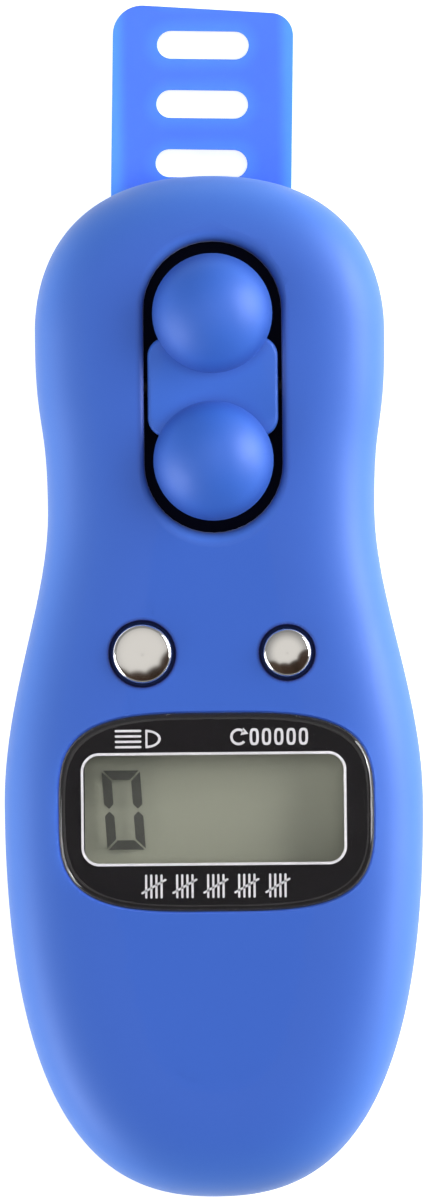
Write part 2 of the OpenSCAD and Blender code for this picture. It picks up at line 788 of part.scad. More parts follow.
module lcd_gasket() color("black") at_case() at_window() difference() {
    slab([shell_window.x - 2 * gasket_play, shell_window.y - 2 * gasket_play, mask_z - film_top - eps],
        film_top);
    slab([window_w + 2 * gasket_play, window_len + 2 * gasket_play, far], 0);
}
module lcd_film() color("tan", 0.4) at_case() at_window()
    slab([window_w + 2 * film_lap, window_len + 2 * film_lap, film_t], film_z);
module lcd_front_glass() color("honeydew", 0.4) at_case() at_window()
    slab([glass_w, glass_len, glass_t], front_glass_z);
module lcd_rear_glass() color("honeydew", 0.4) at_case() at_window()
    slab([glass_w, rear_len, glass_t], rear_z);
module lcd_reflector() color("darkkhaki") at_case() at_window()
    slab([glass_w, rear_len, foil_t], reflector_z);
module light_guide() color("white", 0.6) at_case() at_window()
    slab([glass_w, rear_len, guide_t], board_top);

segment_gap = 0.2;
digit_lean = 3.9;
// Segment along the digit's top or bottom, with mitred ends
module outer_bar(length) {
    w = segment_w;
    l = length / 2 - segment_gap / 2;
    polygon([[-l, w], [l, w], [l - w, 0], [-l + w, 0]]);
}
module digit_zero() {
    half_h = digit_h / 2;
    for (k = [0, 180]) {
        rotate(k) translate([0, half_h - segment_w]) outer_bar(digit_w);
        rotate(k) for (y = [0, 1]) mirror([0, y]) {
            translate([digit_w / 2 - segment_w, half_h / 2]) rotate(-90) side_bar(half_h);
        }
    }
}
// Upright segment: mitred at the outer corner, pointed at the middle
module side_bar(length) {
    w = segment_w;
    l = length / 2 - segment_gap / 2;
    polygon([[-l, w], [l - w / 2, w], [l, w / 2], [l - w / 2, 0], [-l + w, 0]]);
}
module lcd_segments() color("black") at_case() at_window()
    translate([digit_x - lens_x, 0, segment_z])
        multmatrix([[1, -tan(digit_lean), 0, 0], [0, 1, 0, 0], [0, 0, 1, 0]])
            linear_extrude(segment_t) digit_zero();

frame_wall = 0.7;
frame_drop = 0.2;
frame_top = front_glass_z - frame_drop;
pocket_play = 0.1;
pocket = [glass_w + 2 * pocket_play, glass_len + 2 * pocket_play];
led_size = [1.2, 2.6, 1];
led_room = 0.2;
led_x = glass_w / 2 + pocket_play + led_size.x / 2;
zebra_w = 0.9;
zebra_inset = 0.7;
zebra_gap = 0.15;
zebra_y = rear_len / 2 + zebra_gap + zebra_w / 2;
module lcd_frame() color("whitesmoke") at_case() at_window() difference() {
    slab([pocket.x + 2 * frame_wall, pocket.y + 2 * frame_wall, frame_top - board_top], board_top);
    slab([pocket.x, pocket.y, far], 0);
    translate([led_x, 0, 0])
        slab([led_size.x + 2 * led_room, led_size.y + 2 * led_room, board_top + led_size.z + led_room], 0);
}
module backlight_led() color("lightyellow") at_case() at_window()
    translate([led_x, 0, 0]) slab(led_size, board_top);
module zebra_strips() color("slategray") at_case() at_window() for (s = [-1, 1])
    translate([0, s * zebra_y, 0])
        slab([glass_w - 2 * zebra_inset, zebra_w, front_glass_z - board_top], board_top);

/* Circuit board and cell */
boss_play = 0.3;
pin_play = 0.1;
module circuit_board() color("seagreen") at_case() difference() {
    translate([0, 0, board_z]) linear_extrude(board_t) polygon(inset_outline(wall + board_gap));
    at_screws() cylinder(r = boss_r + boss_play, h = far);
    both_sides() for (p = pin_posts) translate(p) cylinder(r = post_pin_r + pin_play, h = far);
}

blob_r = 4.2;
blob_h = 1.3;
blob_drop = 12.6;
blob_y = rocker_y - blob_drop;
module chip_blob() color("black") at_case() translate([0, blob_y, board_z]) rotate_extrude()
    polygon(concat([[0, 0], [blob_r, 0]], [for (a = [15:15:90]) [blob_r * cos(a), -blob_h * sin(a)]]));

part_size = [1.6, 0.8, 0.55];
part_pitch = [2.6, 1.8];
parts_drop = 1.4;
parts_y = blob_y - parts_drop;
module board_parts() color("tan") at_case() for (x = [-1, 0, 1]) {
    for (y = [-0.5, 0.5]) {
        translate([x * part_pitch.x, parts_y + y * part_pitch.y, 0]) slab(part_size, board_top);
    }
}

cap_t = 0.4;
cap_inset = 1.2;
cell_bevel = 0.3;
can_top = cell_z + cell_t - cap_t;
module cell_can() color("silver") at_case() at_cell() rotate_extrude($fn = 96)
    polygon([[0, cell_z], [cell_d / 2 - cell_bevel, cell_z], [cell_d / 2, cell_z + cell_bevel],
        [cell_d / 2, can_top - cell_bevel], [cell_d / 2 - cell_bevel, can_top], [0, can_top]]);
module cell_cap() color("lightgray") at_case() at_cell()
    translate([0, 0, can_top]) cylinder(r = cell_d / 2 - cap_inset, h = cap_t);

sheet_t = 0.2;
leaf_w = 3;
leaf_half = 6;
leaf_bow = 0.72;
leaf_steps = 12;
leaf_top = board_z - sheet_t;
leaf_low = cell_z + cell_t + eps;
// Underside of the negative leaf spring: flat ends, bowed down to the cell between them
function leaf_z(u) = abs(u) > leaf_bow ? leaf_top
    : leaf_top - (leaf_top - leaf_low) * (1 + cos(180 * u / leaf_bow)) / 2;
leaf_line = [for (i = [-leaf_steps:leaf_steps]) [i / leaf_steps * leaf_half, leaf_z(i / leaf_steps)]];
module negative_spring() color("silver") at_case() at_cell()
    rotate([90, 0, 90]) linear_extrude(leaf_w, center = true) polygon(concat(
        leaf_line,
        [for (i = [2 * leaf_steps:-1:0]) leaf_line[i] + [0, sheet_t]]));

clip_rise = 0.6;
clip_z = cell_z + clip_rise;
clip_foot = 2.4;
module positive_clip() color("silver") at_case() at_cell() translate([cell_d / 2 + eps, -clip_w / 2, 0]) {
    translate([0, 0, clip_z]) cube([sheet_t, clip_w, board_z - clip_z]);
    translate([0, 0, board_z - sheet_t]) cube([clip_foot, clip_w, sheet_t]);
}

/* Door, screws and strap */
grip_count = 5;
grip_size = [8, 0.55, 0.35];
grip_pitch = 1.3;
grip_y = 4;
door_head_z = 0.15;
door_head_t = 0.7;
door_screw_end = 4;
module battery_door() color("royalblue") at_case() at_cell() difference() {
    linear_extrude(door_t) door_outline(0);
    for (i = [0:grip_count - 1]) translate([0, grip_y + i * grip_pitch, 0]) slab(grip_size, -eps);
    translate([0, -door_screw_arm, -past]) {
        cylinder(d = screw_d + screw_play, h = far);
        cylinder(d = screw_head_d + screw_play, h = door_head_z + door_head_t + past);
    }
}

drive_size = [1.7, 0.35, 0.4];
// Pan-head screw that points up, with its head's face at height z
module screw(z, head_t, tip_z) {
    difference() {
        translate([0, 0, z]) cylinder(d = screw_head_d, h = head_t);
        for (a = [0, 90]) rotate(a) slab(drive_size, z - eps);
    }
    translate([0, 0, z + head_t - eps]) cylinder(d = screw_d - eps, h = tip_z - z - head_t);
}
module door_screw() color("silver") at_case() at_cell() translate([0, -door_screw_arm, 0])
    screw(door_head_z, door_head_t, door_screw_end);
module case_screws() color("silver") at_case() at_screws()
    screw(screw_seat - screw_head_t, screw_head_t, screw_end);

strap_z = bar_z - strap_t;
strap_end = top_y + strap_reach;
// Where the free end leaves the case and turns askew
skew_y = top_y - 1;
module at_skew() translate([0, skew_y, 0]) rotate([0, 0, -strap_skew]) translate([0, -skew_y, 0]) children();
// Free corner, rounded between the cut end and a side
function strap_arc(side, r, from, to) =
    let (x = side * (strap_w / 2 - r), y = strap_end - x * tan(strap_cut) - r / cos(strap_cut))
    [for (i = [0:12]) let (a = from + (to - from) * i / 12) [x + r * cos(a), y + r * sin(a)]];
function skewed(p) = let (y = p.y - skew_y)
    [p.x * cos(strap_skew) + y * sin(strap_skew), skew_y - p.x * sin(strap_skew) + y * cos(strap_skew)];
module strap_plan() {
    half = strap_w / 2;
    free_end = concat(strap_arc(1, strap_corner_right, 0, 90 - strap_cut),
        strap_arc(-1, strap_corner, 90 - strap_cut, 180));
    polygon(concat([[-half, skew_y], [-half, bar_y], [half, bar_y], [half, skew_y]],
        [for (p = free_end) skewed(p)]));
}
module strap_slot() {
    half = (slot_w - slot_h) / 2;
    translate([-half, -slot_h / 2]) square([2 * half, slot_h]);
    for (x = [-half, half]) translate([x, 0]) circle(d = slot_h, $fn = 32);
}
module finger_strap() color("dodgerblue") at_case() translate([strap_x, 0, 0]) difference() {
    union() {
        translate([0, 0, strap_z]) linear_extrude(strap_t) strap_plan();
        translate([0, bar_y, bar_z]) cross_bar(2 * eye_r, strap_w);
    }
    translate([0, bar_y, bar_z]) cross_bar(bar_d + 2 * slide_play, strap_w + past);
    for (y = slot_rows) {
        if (y > skew_y) {
            at_skew() translate([0, y, 0]) linear_extrude(far, center = true) strap_slot();
        } else {
            translate([0, y, 0]) linear_extrude(far, center = true) strap_slot();
        }
    }
}
module spring_bar() color("silver") at_case() translate([strap_x, bar_y, bar_z])
    cross_bar(bar_d, bar_len - 2 * slide_play);

front_shell();
back_shell();
rocker_key();
rocker_pin();
count_up_stem();
count_down_stem();
lamp_button();
lamp_stem();
reset_button();
reset_stem();
switch_housings();
switch_legs();
display_lens();
display_mask();
display_line();
lens_tape();
lcd_gasket();
lcd_film();
lcd_front_glass();
lcd_segments();
lcd_rear_glass();
lcd_reflector();
lcd_frame();
zebra_strips();
light_guide();
backlight_led();
circuit_board();
chip_blob();
board_parts();
cell_can();
cell_cap();
negative_spring();
positive_clip();
battery_door();
door_screw();
case_screws();
finger_strap();
spring_bar();
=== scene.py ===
"""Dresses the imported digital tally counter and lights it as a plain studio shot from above.

The counter lies on its back: +Z out of the display, +Y along the case to the strap's free end.
Lengths are in metres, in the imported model's own frame.
"""

import json
import logging
import math
from collections.abc import Iterator
from contextlib import contextmanager
from dataclasses import dataclass
from enum import Enum

import bmesh
import bpy
import numpy as np
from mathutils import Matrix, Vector
from mathutils.kdtree import KDTree


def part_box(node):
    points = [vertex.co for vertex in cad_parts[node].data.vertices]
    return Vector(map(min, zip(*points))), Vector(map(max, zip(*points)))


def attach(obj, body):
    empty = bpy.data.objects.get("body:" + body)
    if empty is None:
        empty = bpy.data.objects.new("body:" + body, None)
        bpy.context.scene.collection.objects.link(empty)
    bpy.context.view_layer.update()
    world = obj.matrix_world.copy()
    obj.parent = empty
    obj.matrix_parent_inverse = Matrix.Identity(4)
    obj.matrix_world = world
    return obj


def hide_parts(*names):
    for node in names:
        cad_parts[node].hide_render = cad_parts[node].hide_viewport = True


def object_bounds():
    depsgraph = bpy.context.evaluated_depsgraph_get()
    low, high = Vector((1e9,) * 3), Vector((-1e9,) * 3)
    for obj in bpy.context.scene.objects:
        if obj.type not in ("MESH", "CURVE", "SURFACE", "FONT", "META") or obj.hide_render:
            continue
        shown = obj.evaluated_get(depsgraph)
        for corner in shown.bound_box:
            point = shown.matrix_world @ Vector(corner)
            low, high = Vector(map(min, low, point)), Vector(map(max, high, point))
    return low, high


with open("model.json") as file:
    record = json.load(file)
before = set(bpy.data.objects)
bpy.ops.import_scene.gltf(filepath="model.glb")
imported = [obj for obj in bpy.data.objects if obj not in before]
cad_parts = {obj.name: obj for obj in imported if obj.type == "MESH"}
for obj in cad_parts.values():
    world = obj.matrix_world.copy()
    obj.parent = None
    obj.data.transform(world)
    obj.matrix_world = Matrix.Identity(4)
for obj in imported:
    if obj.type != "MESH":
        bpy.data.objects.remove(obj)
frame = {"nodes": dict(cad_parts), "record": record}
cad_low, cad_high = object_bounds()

LOG = logging.getLogger("tally_counter")
MM = 0.001
MERGE_DISTANCE = 2e-7
SHARP_ANGLE = math.radians(32)
FLAT_ANGLE, BEVEL_ANGLE, SOFT_ANGLE = math.radians(0.5), math.radians(50), math.radians(40)
ROLL_NAME, ROLL_EASE = "roll", 0.75
TONE_SCALE = 60.0
DISPLAY_POWER = 3.5
SHADER_TREE, GEOMETRY_TREE = "ShaderNodeTree", "GeometryNodeTree"

Color = tuple[float, float, float, float]
Point = tuple[float, float, float]
Spot = tuple[float, float]
Mesh = bpy.types.Mesh
NodeTree = bpy.types.NodeTree
Piece = bpy.types.Object
Socket = bpy.types.NodeSocket


def srgb(red: int, green: int, blue: int) -> Color:
    """Turns a display colour, 0 to 255 a channel, into the linear one that shaders take."""
    shares = (red / 255, green / 255, blue / 255)
    return (*(s / 12.92 if s <= 0.04045 else ((s + 0.055) / 1.055) ** 2.4 for s in shares), 1.0)


def grey(level: float) -> Color:
    """Makes a grey; 1 is white."""
    return (level, level, level, 1.0)


SHEEN_TINT = srgb(220, 236, 255)


class Tree:
    """Adds and joins the nodes of one shader or geometry tree."""

    def __init__(self, tree: NodeTree) -> None:
        """Starts on a tree."""
        self.tree = tree

    def add(self, kind: str, inputs: dict | None = None, **settings: object) -> bpy.types.Node:
        """Adds a node, and fills or joins its inputs.

        Args:
            kind: The node's type name.
            inputs: Values or output sockets, by input name or number.
            settings: The node's own properties.

        Returns:
            The node.
        """
        node = self.tree.nodes.new(kind)
        for name, value in settings.items():
            setattr(node, name, value)
        for name, value in (inputs or {}).items():
            if isinstance(value, Socket):
                self.tree.links.new(value, node.inputs[name])
            else:
                node.inputs[name].default_value = value
        return node

    def math(self, operation: str, *values: object) -> Socket:
        """Adds a Math node for numbers or sockets, and returns its result."""
        return self.add("ShaderNodeMath", dict(enumerate(values)), operation=operation).outputs[0]

    def place(self) -> Socket:
        """Returns the coordinates on the object itself."""
        return self.add("ShaderNodeTexCoord").outputs["Object"]

    def axes(self) -> bpy.types.NodeOutputs:
        """Returns the coordinates on the object itself, one by one."""
        return self.add("ShaderNodeSeparateXYZ", {0: self.place()}).outputs

    def noise(self, scale: object, detail: float, place: Socket) -> Socket:
        """Adds a noise texture, read at a place, and returns its value."""
        inputs = {"Scale": scale, "Detail": detail, "Vector": place}
        return self.add("ShaderNodeTexNoise", inputs).outputs[0]

    def ramp(self, value: Socket, none: float, full: float, shape: str = "SMOOTHSTEP") -> Socket:
        """Turns a value into a share, from 0 at one value to 1 at another."""
        inputs = {0: value, 1: none, 2: full}
        return self.add("ShaderNodeMapRange", inputs, interpolation_type=shape).outputs[0]

    def mix(self, share: Socket, under: object, over: object) -> Socket:
        """Lays a share of one colour over another, and returns the result."""
        return self.add("ShaderNodeMix", {0: share, 6: under, 7: over}, data_type="RGBA").outputs[2]

    def bump(self, height: Socket, strength: float, distance: float) -> Socket:
        """Turns a height into a normal."""
        inputs = {"Height": height, "Strength": strength, "Distance": distance}
        return self.add("ShaderNodeBump", inputs).outputs[0]

    def effect(self, name: str, **inputs: object) -> Socket:
        """Places one of the shared groups, and returns what it puts out."""
        return self.add("ShaderNodeGroup", inputs, node_tree=EFFECTS[name]).outputs[0]


class Kind(Enum):
    """Kinds of socket that the groups use."""

    NUMBER = "NodeSocketFloat"
    COUNT = "NodeSocketInt"
    COLOR = "NodeSocketColor"
    VECTOR = "NodeSocketVector"
    GEOMETRY = "NodeSocketGeometry"
    MATERIAL = "NodeSocketMaterial"


class Group(Tree):
    """A node group with named sockets."""

    def __init__(self, name: str, kind: str, takes: dict[str, Kind],
                 gives: dict[str, Kind]) -> None:
        """Makes the group's sockets.

        Args:
            name: The group's name.
            kind: SHADER_TREE or GEOMETRY_TREE.
            takes: Each input's kind, by name.
            gives: The output's kind, by name.
        """
        super().__init__(bpy.data.node_groups.new(name, kind))
        for side, sockets in (("INPUT", takes), ("OUTPUT", gives)):
            for label, socket in sockets.items():
                self.tree.interface.new_socket(label, in_out=side, socket_type=socket.value)
        self.given = self.add("NodeGroupInput").outputs

    def end(self, result: Socket) -> NodeTree:
        """Joins the result to the output, and returns the group."""
        self.add("NodeGroupOutput", {0: result})
        return self.tree


class Effects:
    """Shader groups that several finishes share."""

    @staticmethod
    def grain() -> NodeTree:
        """Makes the fine moulded grain: a height from two sizes of noise.

        Returns:
            The group.
        """
        group = Group("moulded_grain", SHADER_TREE, {"Scale": Kind.NUMBER}, {"Height": Kind.NUMBER})
        scale, place = group.given["Scale"], group.place()
        fine = group.math("MULTIPLY", group.noise(scale, 2.0, place), 0.6)
        coarse = group.noise(group.math("MULTIPLY", scale, 0.3), 3.0, place)
        return group.end(group.math("ADD", fine, group.math("MULTIPLY", coarse, 0.4)))

    @staticmethod
    def tone() -> NodeTree:
        """Makes slow colour drift over a piece, as moulded or rolled stock has.

        Returns:
            The group.
        """
        takes = dict.fromkeys(("Color", "Other"), Kind.COLOR)
        takes |= dict.fromkeys(("Scale", "Amount"), Kind.NUMBER)
        group = Group("slow_tone", SHADER_TREE, takes, {"Color": Kind.COLOR})
        drift = group.noise(group.given["Scale"], 3.0, group.place())
        share = group.math("MULTIPLY", drift, group.given["Amount"])
        return group.end(group.mix(share, group.given["Color"], group.given["Other"]))

    @staticmethod
    def handling() -> NodeTree:
        """Makes smudges and hairline scuffs, which lift the roughness.

        Returns:
            The group.
        """
        takes = dict.fromkeys(("Roughness", "Smudge", "Scuff"), Kind.NUMBER)
        group = Group("handling_marks", SHADER_TREE, takes, {"Roughness": Kind.NUMBER})
        place = group.place()
        patches = group.ramp(group.noise(90.0, 4.0, place), 0.4, 0.7, "LINEAR")
        stretched = group.add("ShaderNodeMapping", {"Vector": place, "Rotation": (0.3, 0.2, 0.7),
                                                    "Scale": (1.0, 9.0, 1.0)}).outputs[0]
        hairs = group.ramp(group.noise(700.0, 2.0, stretched), 0.66, 0.74, "LINEAR")
        marks = group.math("ADD", group.math("MULTIPLY", patches, group.given["Smudge"]),
                           group.math("MULTIPLY", hairs, group.given["Scuff"]))
        return group.end(group.math("ADD", group.given["Roughness"], marks))

    @staticmethod
    def strokes() -> NodeTree:
        """Makes the fine lines that rolling or brushing leaves on metal.

        Returns:
            The group.
        """
        group = Group("drawn_lines", SHADER_TREE, {"Stretch": Kind.VECTOR}, {"Height": Kind.NUMBER})
        inputs = {"Vector": group.place(), "Scale": group.given["Stretch"]}
        lines = group.add("ShaderNodeMapping", inputs).outputs[0]
        return group.end(group.noise(2500.0, 2.0, lines))

    @staticmethod
    def gap() -> NodeTree:
        """Makes a mask that is highest along the outline of a rounded slot or a pair of discs.

        Returns:
            The group.
        """
        names = ("X", "Y", "Arm", "Least", "Radius", "Reach", "Floor", "Share")
        takes = dict.fromkeys(names, Kind.NUMBER)
        group = Group("gap_shade", SHADER_TREE, takes, {"Shade": Kind.NUMBER})
        given, axes, math_node = group.given, group.axes(), group.math
        across = math_node("SUBTRACT", axes["X"], given["X"])
        along = math_node("ABSOLUTE", math_node("SUBTRACT", axes["Y"], given["Y"]))
        past = math_node("MAXIMUM", math_node("SUBTRACT", along, given["Arm"]), given["Least"])
        reach = math_node("SQRT", math_node("ADD", math_node("MULTIPLY", across, across),
                                            math_node("MULTIPLY", past, past)))
        off = math_node("ABSOLUTE", math_node("SUBTRACT", reach, given["Radius"]))
        near = math_node("SUBTRACT", 1.0, math_node("DIVIDE", off, given["Reach"]))
        soft = math_node("POWER", math_node("MAXIMUM", near, 0.0), 1.5)
        above = math_node("GREATER_THAN", axes["Z"], given["Floor"])
        return group.end(math_node("MULTIPLY", math_node("MULTIPLY", soft, above), given["Share"]))


EFFECTS = {make.__name__: make() for make in (
    Effects.grain, Effects.tone, Effects.handling, Effects.strokes, Effects.gap)}


class Surface(Tree):
    """A material that holds one Principled shader."""

    def __init__(self, name: str) -> None:
        """Starts the material.

        Args:
            name: Its name.
        """
        self.material = bpy.data.materials.new(name)
        self.material.use_nodes = True
        super().__init__(self.material.node_tree)
        self.tree.nodes.clear()

    def end(self, inputs: dict[str, object]) -> bpy.types.Material:
        """Adds the shader.

        Args:
            inputs: Its inputs, by name.

        Returns:
            The material.
        """
        shader = self.add("ShaderNodeBsdfPrincipled", inputs)
        self.add("ShaderNodeOutputMaterial", {"Surface": shader.outputs[0]})
        return self.material


@dataclass(frozen=True)
class GapShade:
    """Soft shade on the parts beside a gap: round a slot, or round two discs."""

    centre: Spot
    radius: float
    reach: float
    arm: float = 0.0
    discs: bool = False
    floor: float = 11 * MM
    share: float = 1.0
    color: Color = (0.0, 0.005, 0.14, 1.0)

    def lay(self, tree: Tree, under: Socket) -> Socket:
        """Lays the shade over a colour, and returns the colour with it."""
        shade = tree.effect("gap", X=self.centre[0], Y=self.centre[1], Arm=self.arm,
                            Least=-1.0 if self.discs else 0.0, Radius=self.radius, Reach=self.reach,
                            Floor=self.floor, Share=self.share)
        return tree.mix(shade, under, self.color)


@dataclass(frozen=True)
class Plastic:
    """Moulded plastic, foam or rubber: grain, slow tone and handling marks, with a painted sheen on
    rolled faces and painted shade beside gaps where given.
    """

    name: str
    color: Color
    other: Color
    roughness: float = 0.45
    grain_scale: float = 3500.0
    grain_depth: float = 0.15
    tone: float = 0.5
    smudge: float = 0.05
    scuff: float = 0.06
    sheen: float = 0.0
    coat: float = 0.0
    specular: float = 0.5
    # colour of the painted sheen, laid where the surface rolls away from the flat
    rim: Color | None = None
    gaps: tuple[GapShade, ...] = ()

    def material(self) -> bpy.types.Material:
        """Makes the material; where it has a rim colour, a painted sheen makes it paler where the
        moulding rolls away from its flat faces, and painted shade darkens it beside its gaps.

        Returns:
            The material.
        """
        made = Surface(self.name)
        color = made.effect("tone", Color=self.color, Other=self.other, Scale=TONE_SCALE,
                            Amount=self.tone)
        # painted sheen: the colour turns towards the rim colour as the face rolls away from the
        # flat
        if self.rim:
            roll = made.add("ShaderNodeAttribute", attribute_name=ROLL_NAME).outputs["Fac"]
            color = made.mix(roll, color, self.rim)
        for gap in self.gaps:
            color = gap.lay(made, color)
        grain = made.effect("grain", Scale=self.grain_scale)
        return made.end({
            "Base Color": color, "Normal": made.bump(grain, self.grain_depth, 0.02 * MM),
            "Roughness": made.effect("handling", Roughness=self.roughness, Smudge=self.smudge,
                                     Scuff=self.scuff),
            "Sheen Weight": self.sheen, "Sheen Tint": SHEEN_TINT, "Sheen Roughness": 0.4,
            "Coat Weight": self.coat, "Specular IOR Level": self.specular})


@dataclass(frozen=True)
class Metal:
    """Plated or rolled metal with fine drawn lines."""

    name: str
    color: Color
    roughness: float = 0.25
    line_depth: float = 0.1
    line_stretch: Point = (1.0, 0.04, 1.0)
    smudge: float = 0.04
    scuff: float = 0.04
    darker: float = 0.9

    def material(self) -> bpy.types.Material:
        """Makes the material.

        Returns:
            The material.
        """
        made = Surface(self.name)
        dark = (*(self.darker * channel for channel in self.color[:3]), 1.0)
        lines = made.effect("strokes", Stretch=self.line_stretch)
        return made.end({
            "Base Color": made.effect("tone", Color=self.color, Other=dark, Scale=TONE_SCALE,
                                      Amount=0.3),
            "Roughness": made.effect("handling", Roughness=self.roughness, Smudge=self.smudge,
                                     Scuff=self.scuff),
            "Normal": made.bump(lines, self.line_depth, 0.01 * MM), "Metallic": 1.0})


@dataclass(frozen=True)
class ClearLens:
    """Clear polished acrylic, with no gap between its back and the print on it."""

    name: str
    ior: float = 1.49
    roughness: float = 0.015
    print_z: float = 12.61 * MM

    def material(self) -> bpy.types.Material:
        """Makes the material.

        Returns:
            The material.
        """
        made = Surface(self.name)
        return made.end({
            "Base Color": grey(1), "Transmission Weight": 1.0, "IOR": self.ior,
            "Roughness": made.effect("handling", Roughness=self.roughness, Smudge=0.03, Scuff=0.0),
            "Alpha": made.math("GREATER_THAN", made.axes()["Z"], self.print_z)})


@dataclass(frozen=True)
class ThinFilm:
    """Nearly clear sheet of the display, drawn as a faint tinted layer."""

    name: str
    color: Color
    alpha: float

    def material(self) -> bpy.types.Material:
        """Makes the material."""
        made = Surface(self.name)
        return made.end({"Base Color": self.color, "Alpha": self.alpha, "Roughness": made.effect(
            "handling", Roughness=0.2, Smudge=0.1, Scuff=0.0)})


@dataclass(frozen=True)
class Silicone:
    """Translucent strap rubber, with a painted glow: paler along its long edges and slots, where
    light comes through.
    """

    name: str
    color: Color
    edge_color: Color
    centre_x: float
    half_width: float
    edge_width: float = 1.5 * MM
    roughness: float = 0.5
    slot_y: float = 43.785 * MM
    slot_pitch: float = 4.656 * MM
    slot_half: float = 2.5 * MM
    slot_radius: float = 1.1 * MM
    slot_glow: float = 1.3 * MM
    slot_share: float = 0.4

    def near_slots(self, tree: Tree, across: Socket, along: Socket) -> Socket:
        """Makes the mask of the painted glow, highest at the rim of each slot.

        Args:
            tree: The material's builder.
            across: Distance from the strap's middle line.
            along: The Y coordinate.

        Returns:
            The mask.
        """
        half_pitch = self.slot_pitch / 2
        row = tree.math("WRAP", tree.math("SUBTRACT", along, self.slot_y), half_pitch, -half_pitch)
        past_end = tree.math("MAXIMUM", tree.math("SUBTRACT", across, self.slot_half), 0.0)
        reach = tree.math("SQRT", tree.math("ADD", tree.math("MULTIPLY", row, row),
                                            tree.math("MULTIPLY", past_end, past_end)))
        glow = tree.ramp(reach, self.slot_radius + self.slot_glow, self.slot_radius)
        return tree.math("MULTIPLY", glow, self.slot_share)

    def material(self) -> bpy.types.Material:
        """Makes the material.

        Returns:
            The material.
        """
        made = Surface(self.name)
        axes = made.axes()
        off = made.math("ABSOLUTE", made.math("SUBTRACT", axes["X"], self.centre_x))
        edge = made.ramp(off, self.half_width - self.edge_width,
                         self.half_width - 0.2 * self.edge_width)
        # painted glow: paler towards the long edges and round the slots, where light comes through
        painted_glow = made.math("MAXIMUM", edge, self.near_slots(made, off, axes["Y"]))
        body = made.effect("tone", Color=self.color, Other=self.edge_color, Scale=220.0,
                           Amount=0.25)
        grain = made.effect("grain", Scale=2500.0)
        return made.end({
            "Base Color": made.mix(painted_glow, body, self.edge_color),
            "Normal": made.bump(grain, 0.1, 0.02 * MM),
            "Roughness": made.effect("handling", Roughness=self.roughness, Smudge=0.05, Scuff=0.05),
            "Subsurface Weight": 0.35, "Subsurface Radius": (0.2, 0.5, 1.0),
            "Subsurface Scale": 1.0 * MM})


CASE_BLUE, CASE_BLUE_DEEP = srgb(45, 91, 188), srgb(41, 86, 182)
ROCKER_CENTRE = (0.22 * MM, 16.775 * MM)
LAMP_CENTRE, RESET_CENTRE = (-5.48 * MM, -4.025 * MM), (5.84 * MM, -4.025 * MM)
STRAP_LOW, STRAP_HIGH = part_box("finger_strap")

FINISHES = {finish.name: finish.material() for finish in (
    # rim colours paint a paler sheen on rolled faces; the gap shades paint shade beside the rocker,
    # its domes and the buttons
    Plastic("case_plastic", CASE_BLUE, CASE_BLUE_DEEP, roughness=0.55, sheen=0.2,
            rim=(0.085, 0.24, 0.78, 1), gaps=(
                GapShade(ROCKER_CENTRE, 5.35 * MM, 0.75 * MM, arm=5.98 * MM),
                GapShade(LAMP_CENTRE, 2.62 * MM, 0.3 * MM),
                GapShade(RESET_CENTRE, 2.2 * MM, 0.3 * MM))),
    Plastic("key_plastic", srgb(49, 99, 198), srgb(45, 94, 192), roughness=0.52, sheen=0.1,
            rim=(0.03, 0.13, 0.58, 1), gaps=(
                GapShade(ROCKER_CENTRE, 4.55 * MM, 0.9 * MM, arm=5.75 * MM, discs=True, share=0.6,
                         color=(0.015, 0.065, 0.38, 1)),
                GapShade(LAMP_CENTRE, 2.55 * MM, 0.5 * MM),
                GapShade(RESET_CENTRE, 2.12 * MM, 0.5 * MM))),
    Plastic("switch_plastic", srgb(38, 38, 40), srgb(30, 30, 32)),
    Plastic("black_print", srgb(26, 24, 26), srgb(20, 19, 20), roughness=0.4, grain_depth=0.03,
            specular=0.1),
    Plastic("white_print", srgb(208, 206, 209), srgb(200, 198, 202), roughness=0.5,
            grain_depth=0.05, specular=0.1),
    Plastic("black_foam", srgb(24, 24, 25), srgb(34, 34, 35), roughness=0.9, grain_scale=6000.0,
            grain_depth=0.8),
    Plastic("segment_ink", srgb(52, 50, 48), srgb(46, 45, 43), roughness=0.5, grain_depth=0.05,
            specular=0.1),
    Plastic("reflector", srgb(176, 177, 158), srgb(170, 171, 152), roughness=0.5,
            grain_scale=9000.0, grain_depth=0.1, specular=0.1),
    Plastic("white_plastic", srgb(226, 226, 221), srgb(216, 216, 210), roughness=0.4),
    Plastic("zebra_rubber", srgb(120, 120, 126), srgb(60, 60, 66), roughness=0.7),
    Plastic("light_guide", srgb(236, 238, 232), srgb(228, 231, 224), roughness=0.15,
            grain_depth=0.05, coat=0.3),
    Plastic("led", srgb(244, 232, 160), srgb(236, 220, 130), roughness=0.2, grain_depth=0.05),
    Plastic("board", srgb(8, 12, 44), srgb(5, 9, 34), roughness=0.4, grain_depth=0.1,
            specular=0.05),
    Plastic("epoxy", srgb(22, 22, 24), srgb(28, 28, 30), roughness=0.2, coat=0.5),
    Plastic("ceramic", srgb(166, 140, 108), srgb(150, 124, 92), roughness=0.5),
    Metal("steel", (0.62, 0.62, 0.61, 1)),
    Metal("screw_steel", (0.50, 0.50, 0.51, 1), roughness=0.3),
    Metal("dark_steel", (0.05, 0.05, 0.055, 1), roughness=0.45),
    Metal("chrome", (0.80, 0.785, 0.76, 1), roughness=0.13, line_depth=0.0, smudge=0.03, scuff=0.0),
    ClearLens("clear_lens"),
    ThinFilm("display_film", srgb(180, 180, 165), 0.025),
    ThinFilm("display_glass", srgb(200, 210, 200), 0.02),
    Silicone("strap_rubber", srgb(76, 119, 246), srgb(88, 157, 252),
             (STRAP_LOW.x + STRAP_HIGH.x) / 2, (STRAP_HIGH.x - STRAP_LOW.x) / 2),
)}


@contextmanager
def editing(mesh: Mesh, source: Mesh | None = None) -> Iterator[bmesh.types.BMesh]:
    """Opens a mesh for editing and writes it back.

    Args:
        mesh: The mesh that is written.
        source: The mesh that is read, if it is another one.

    Yields:
        The open mesh.
    """
    work = bmesh.new()
    work.from_mesh(source or mesh)
    yield work
    work.to_mesh(mesh)
    work.free()


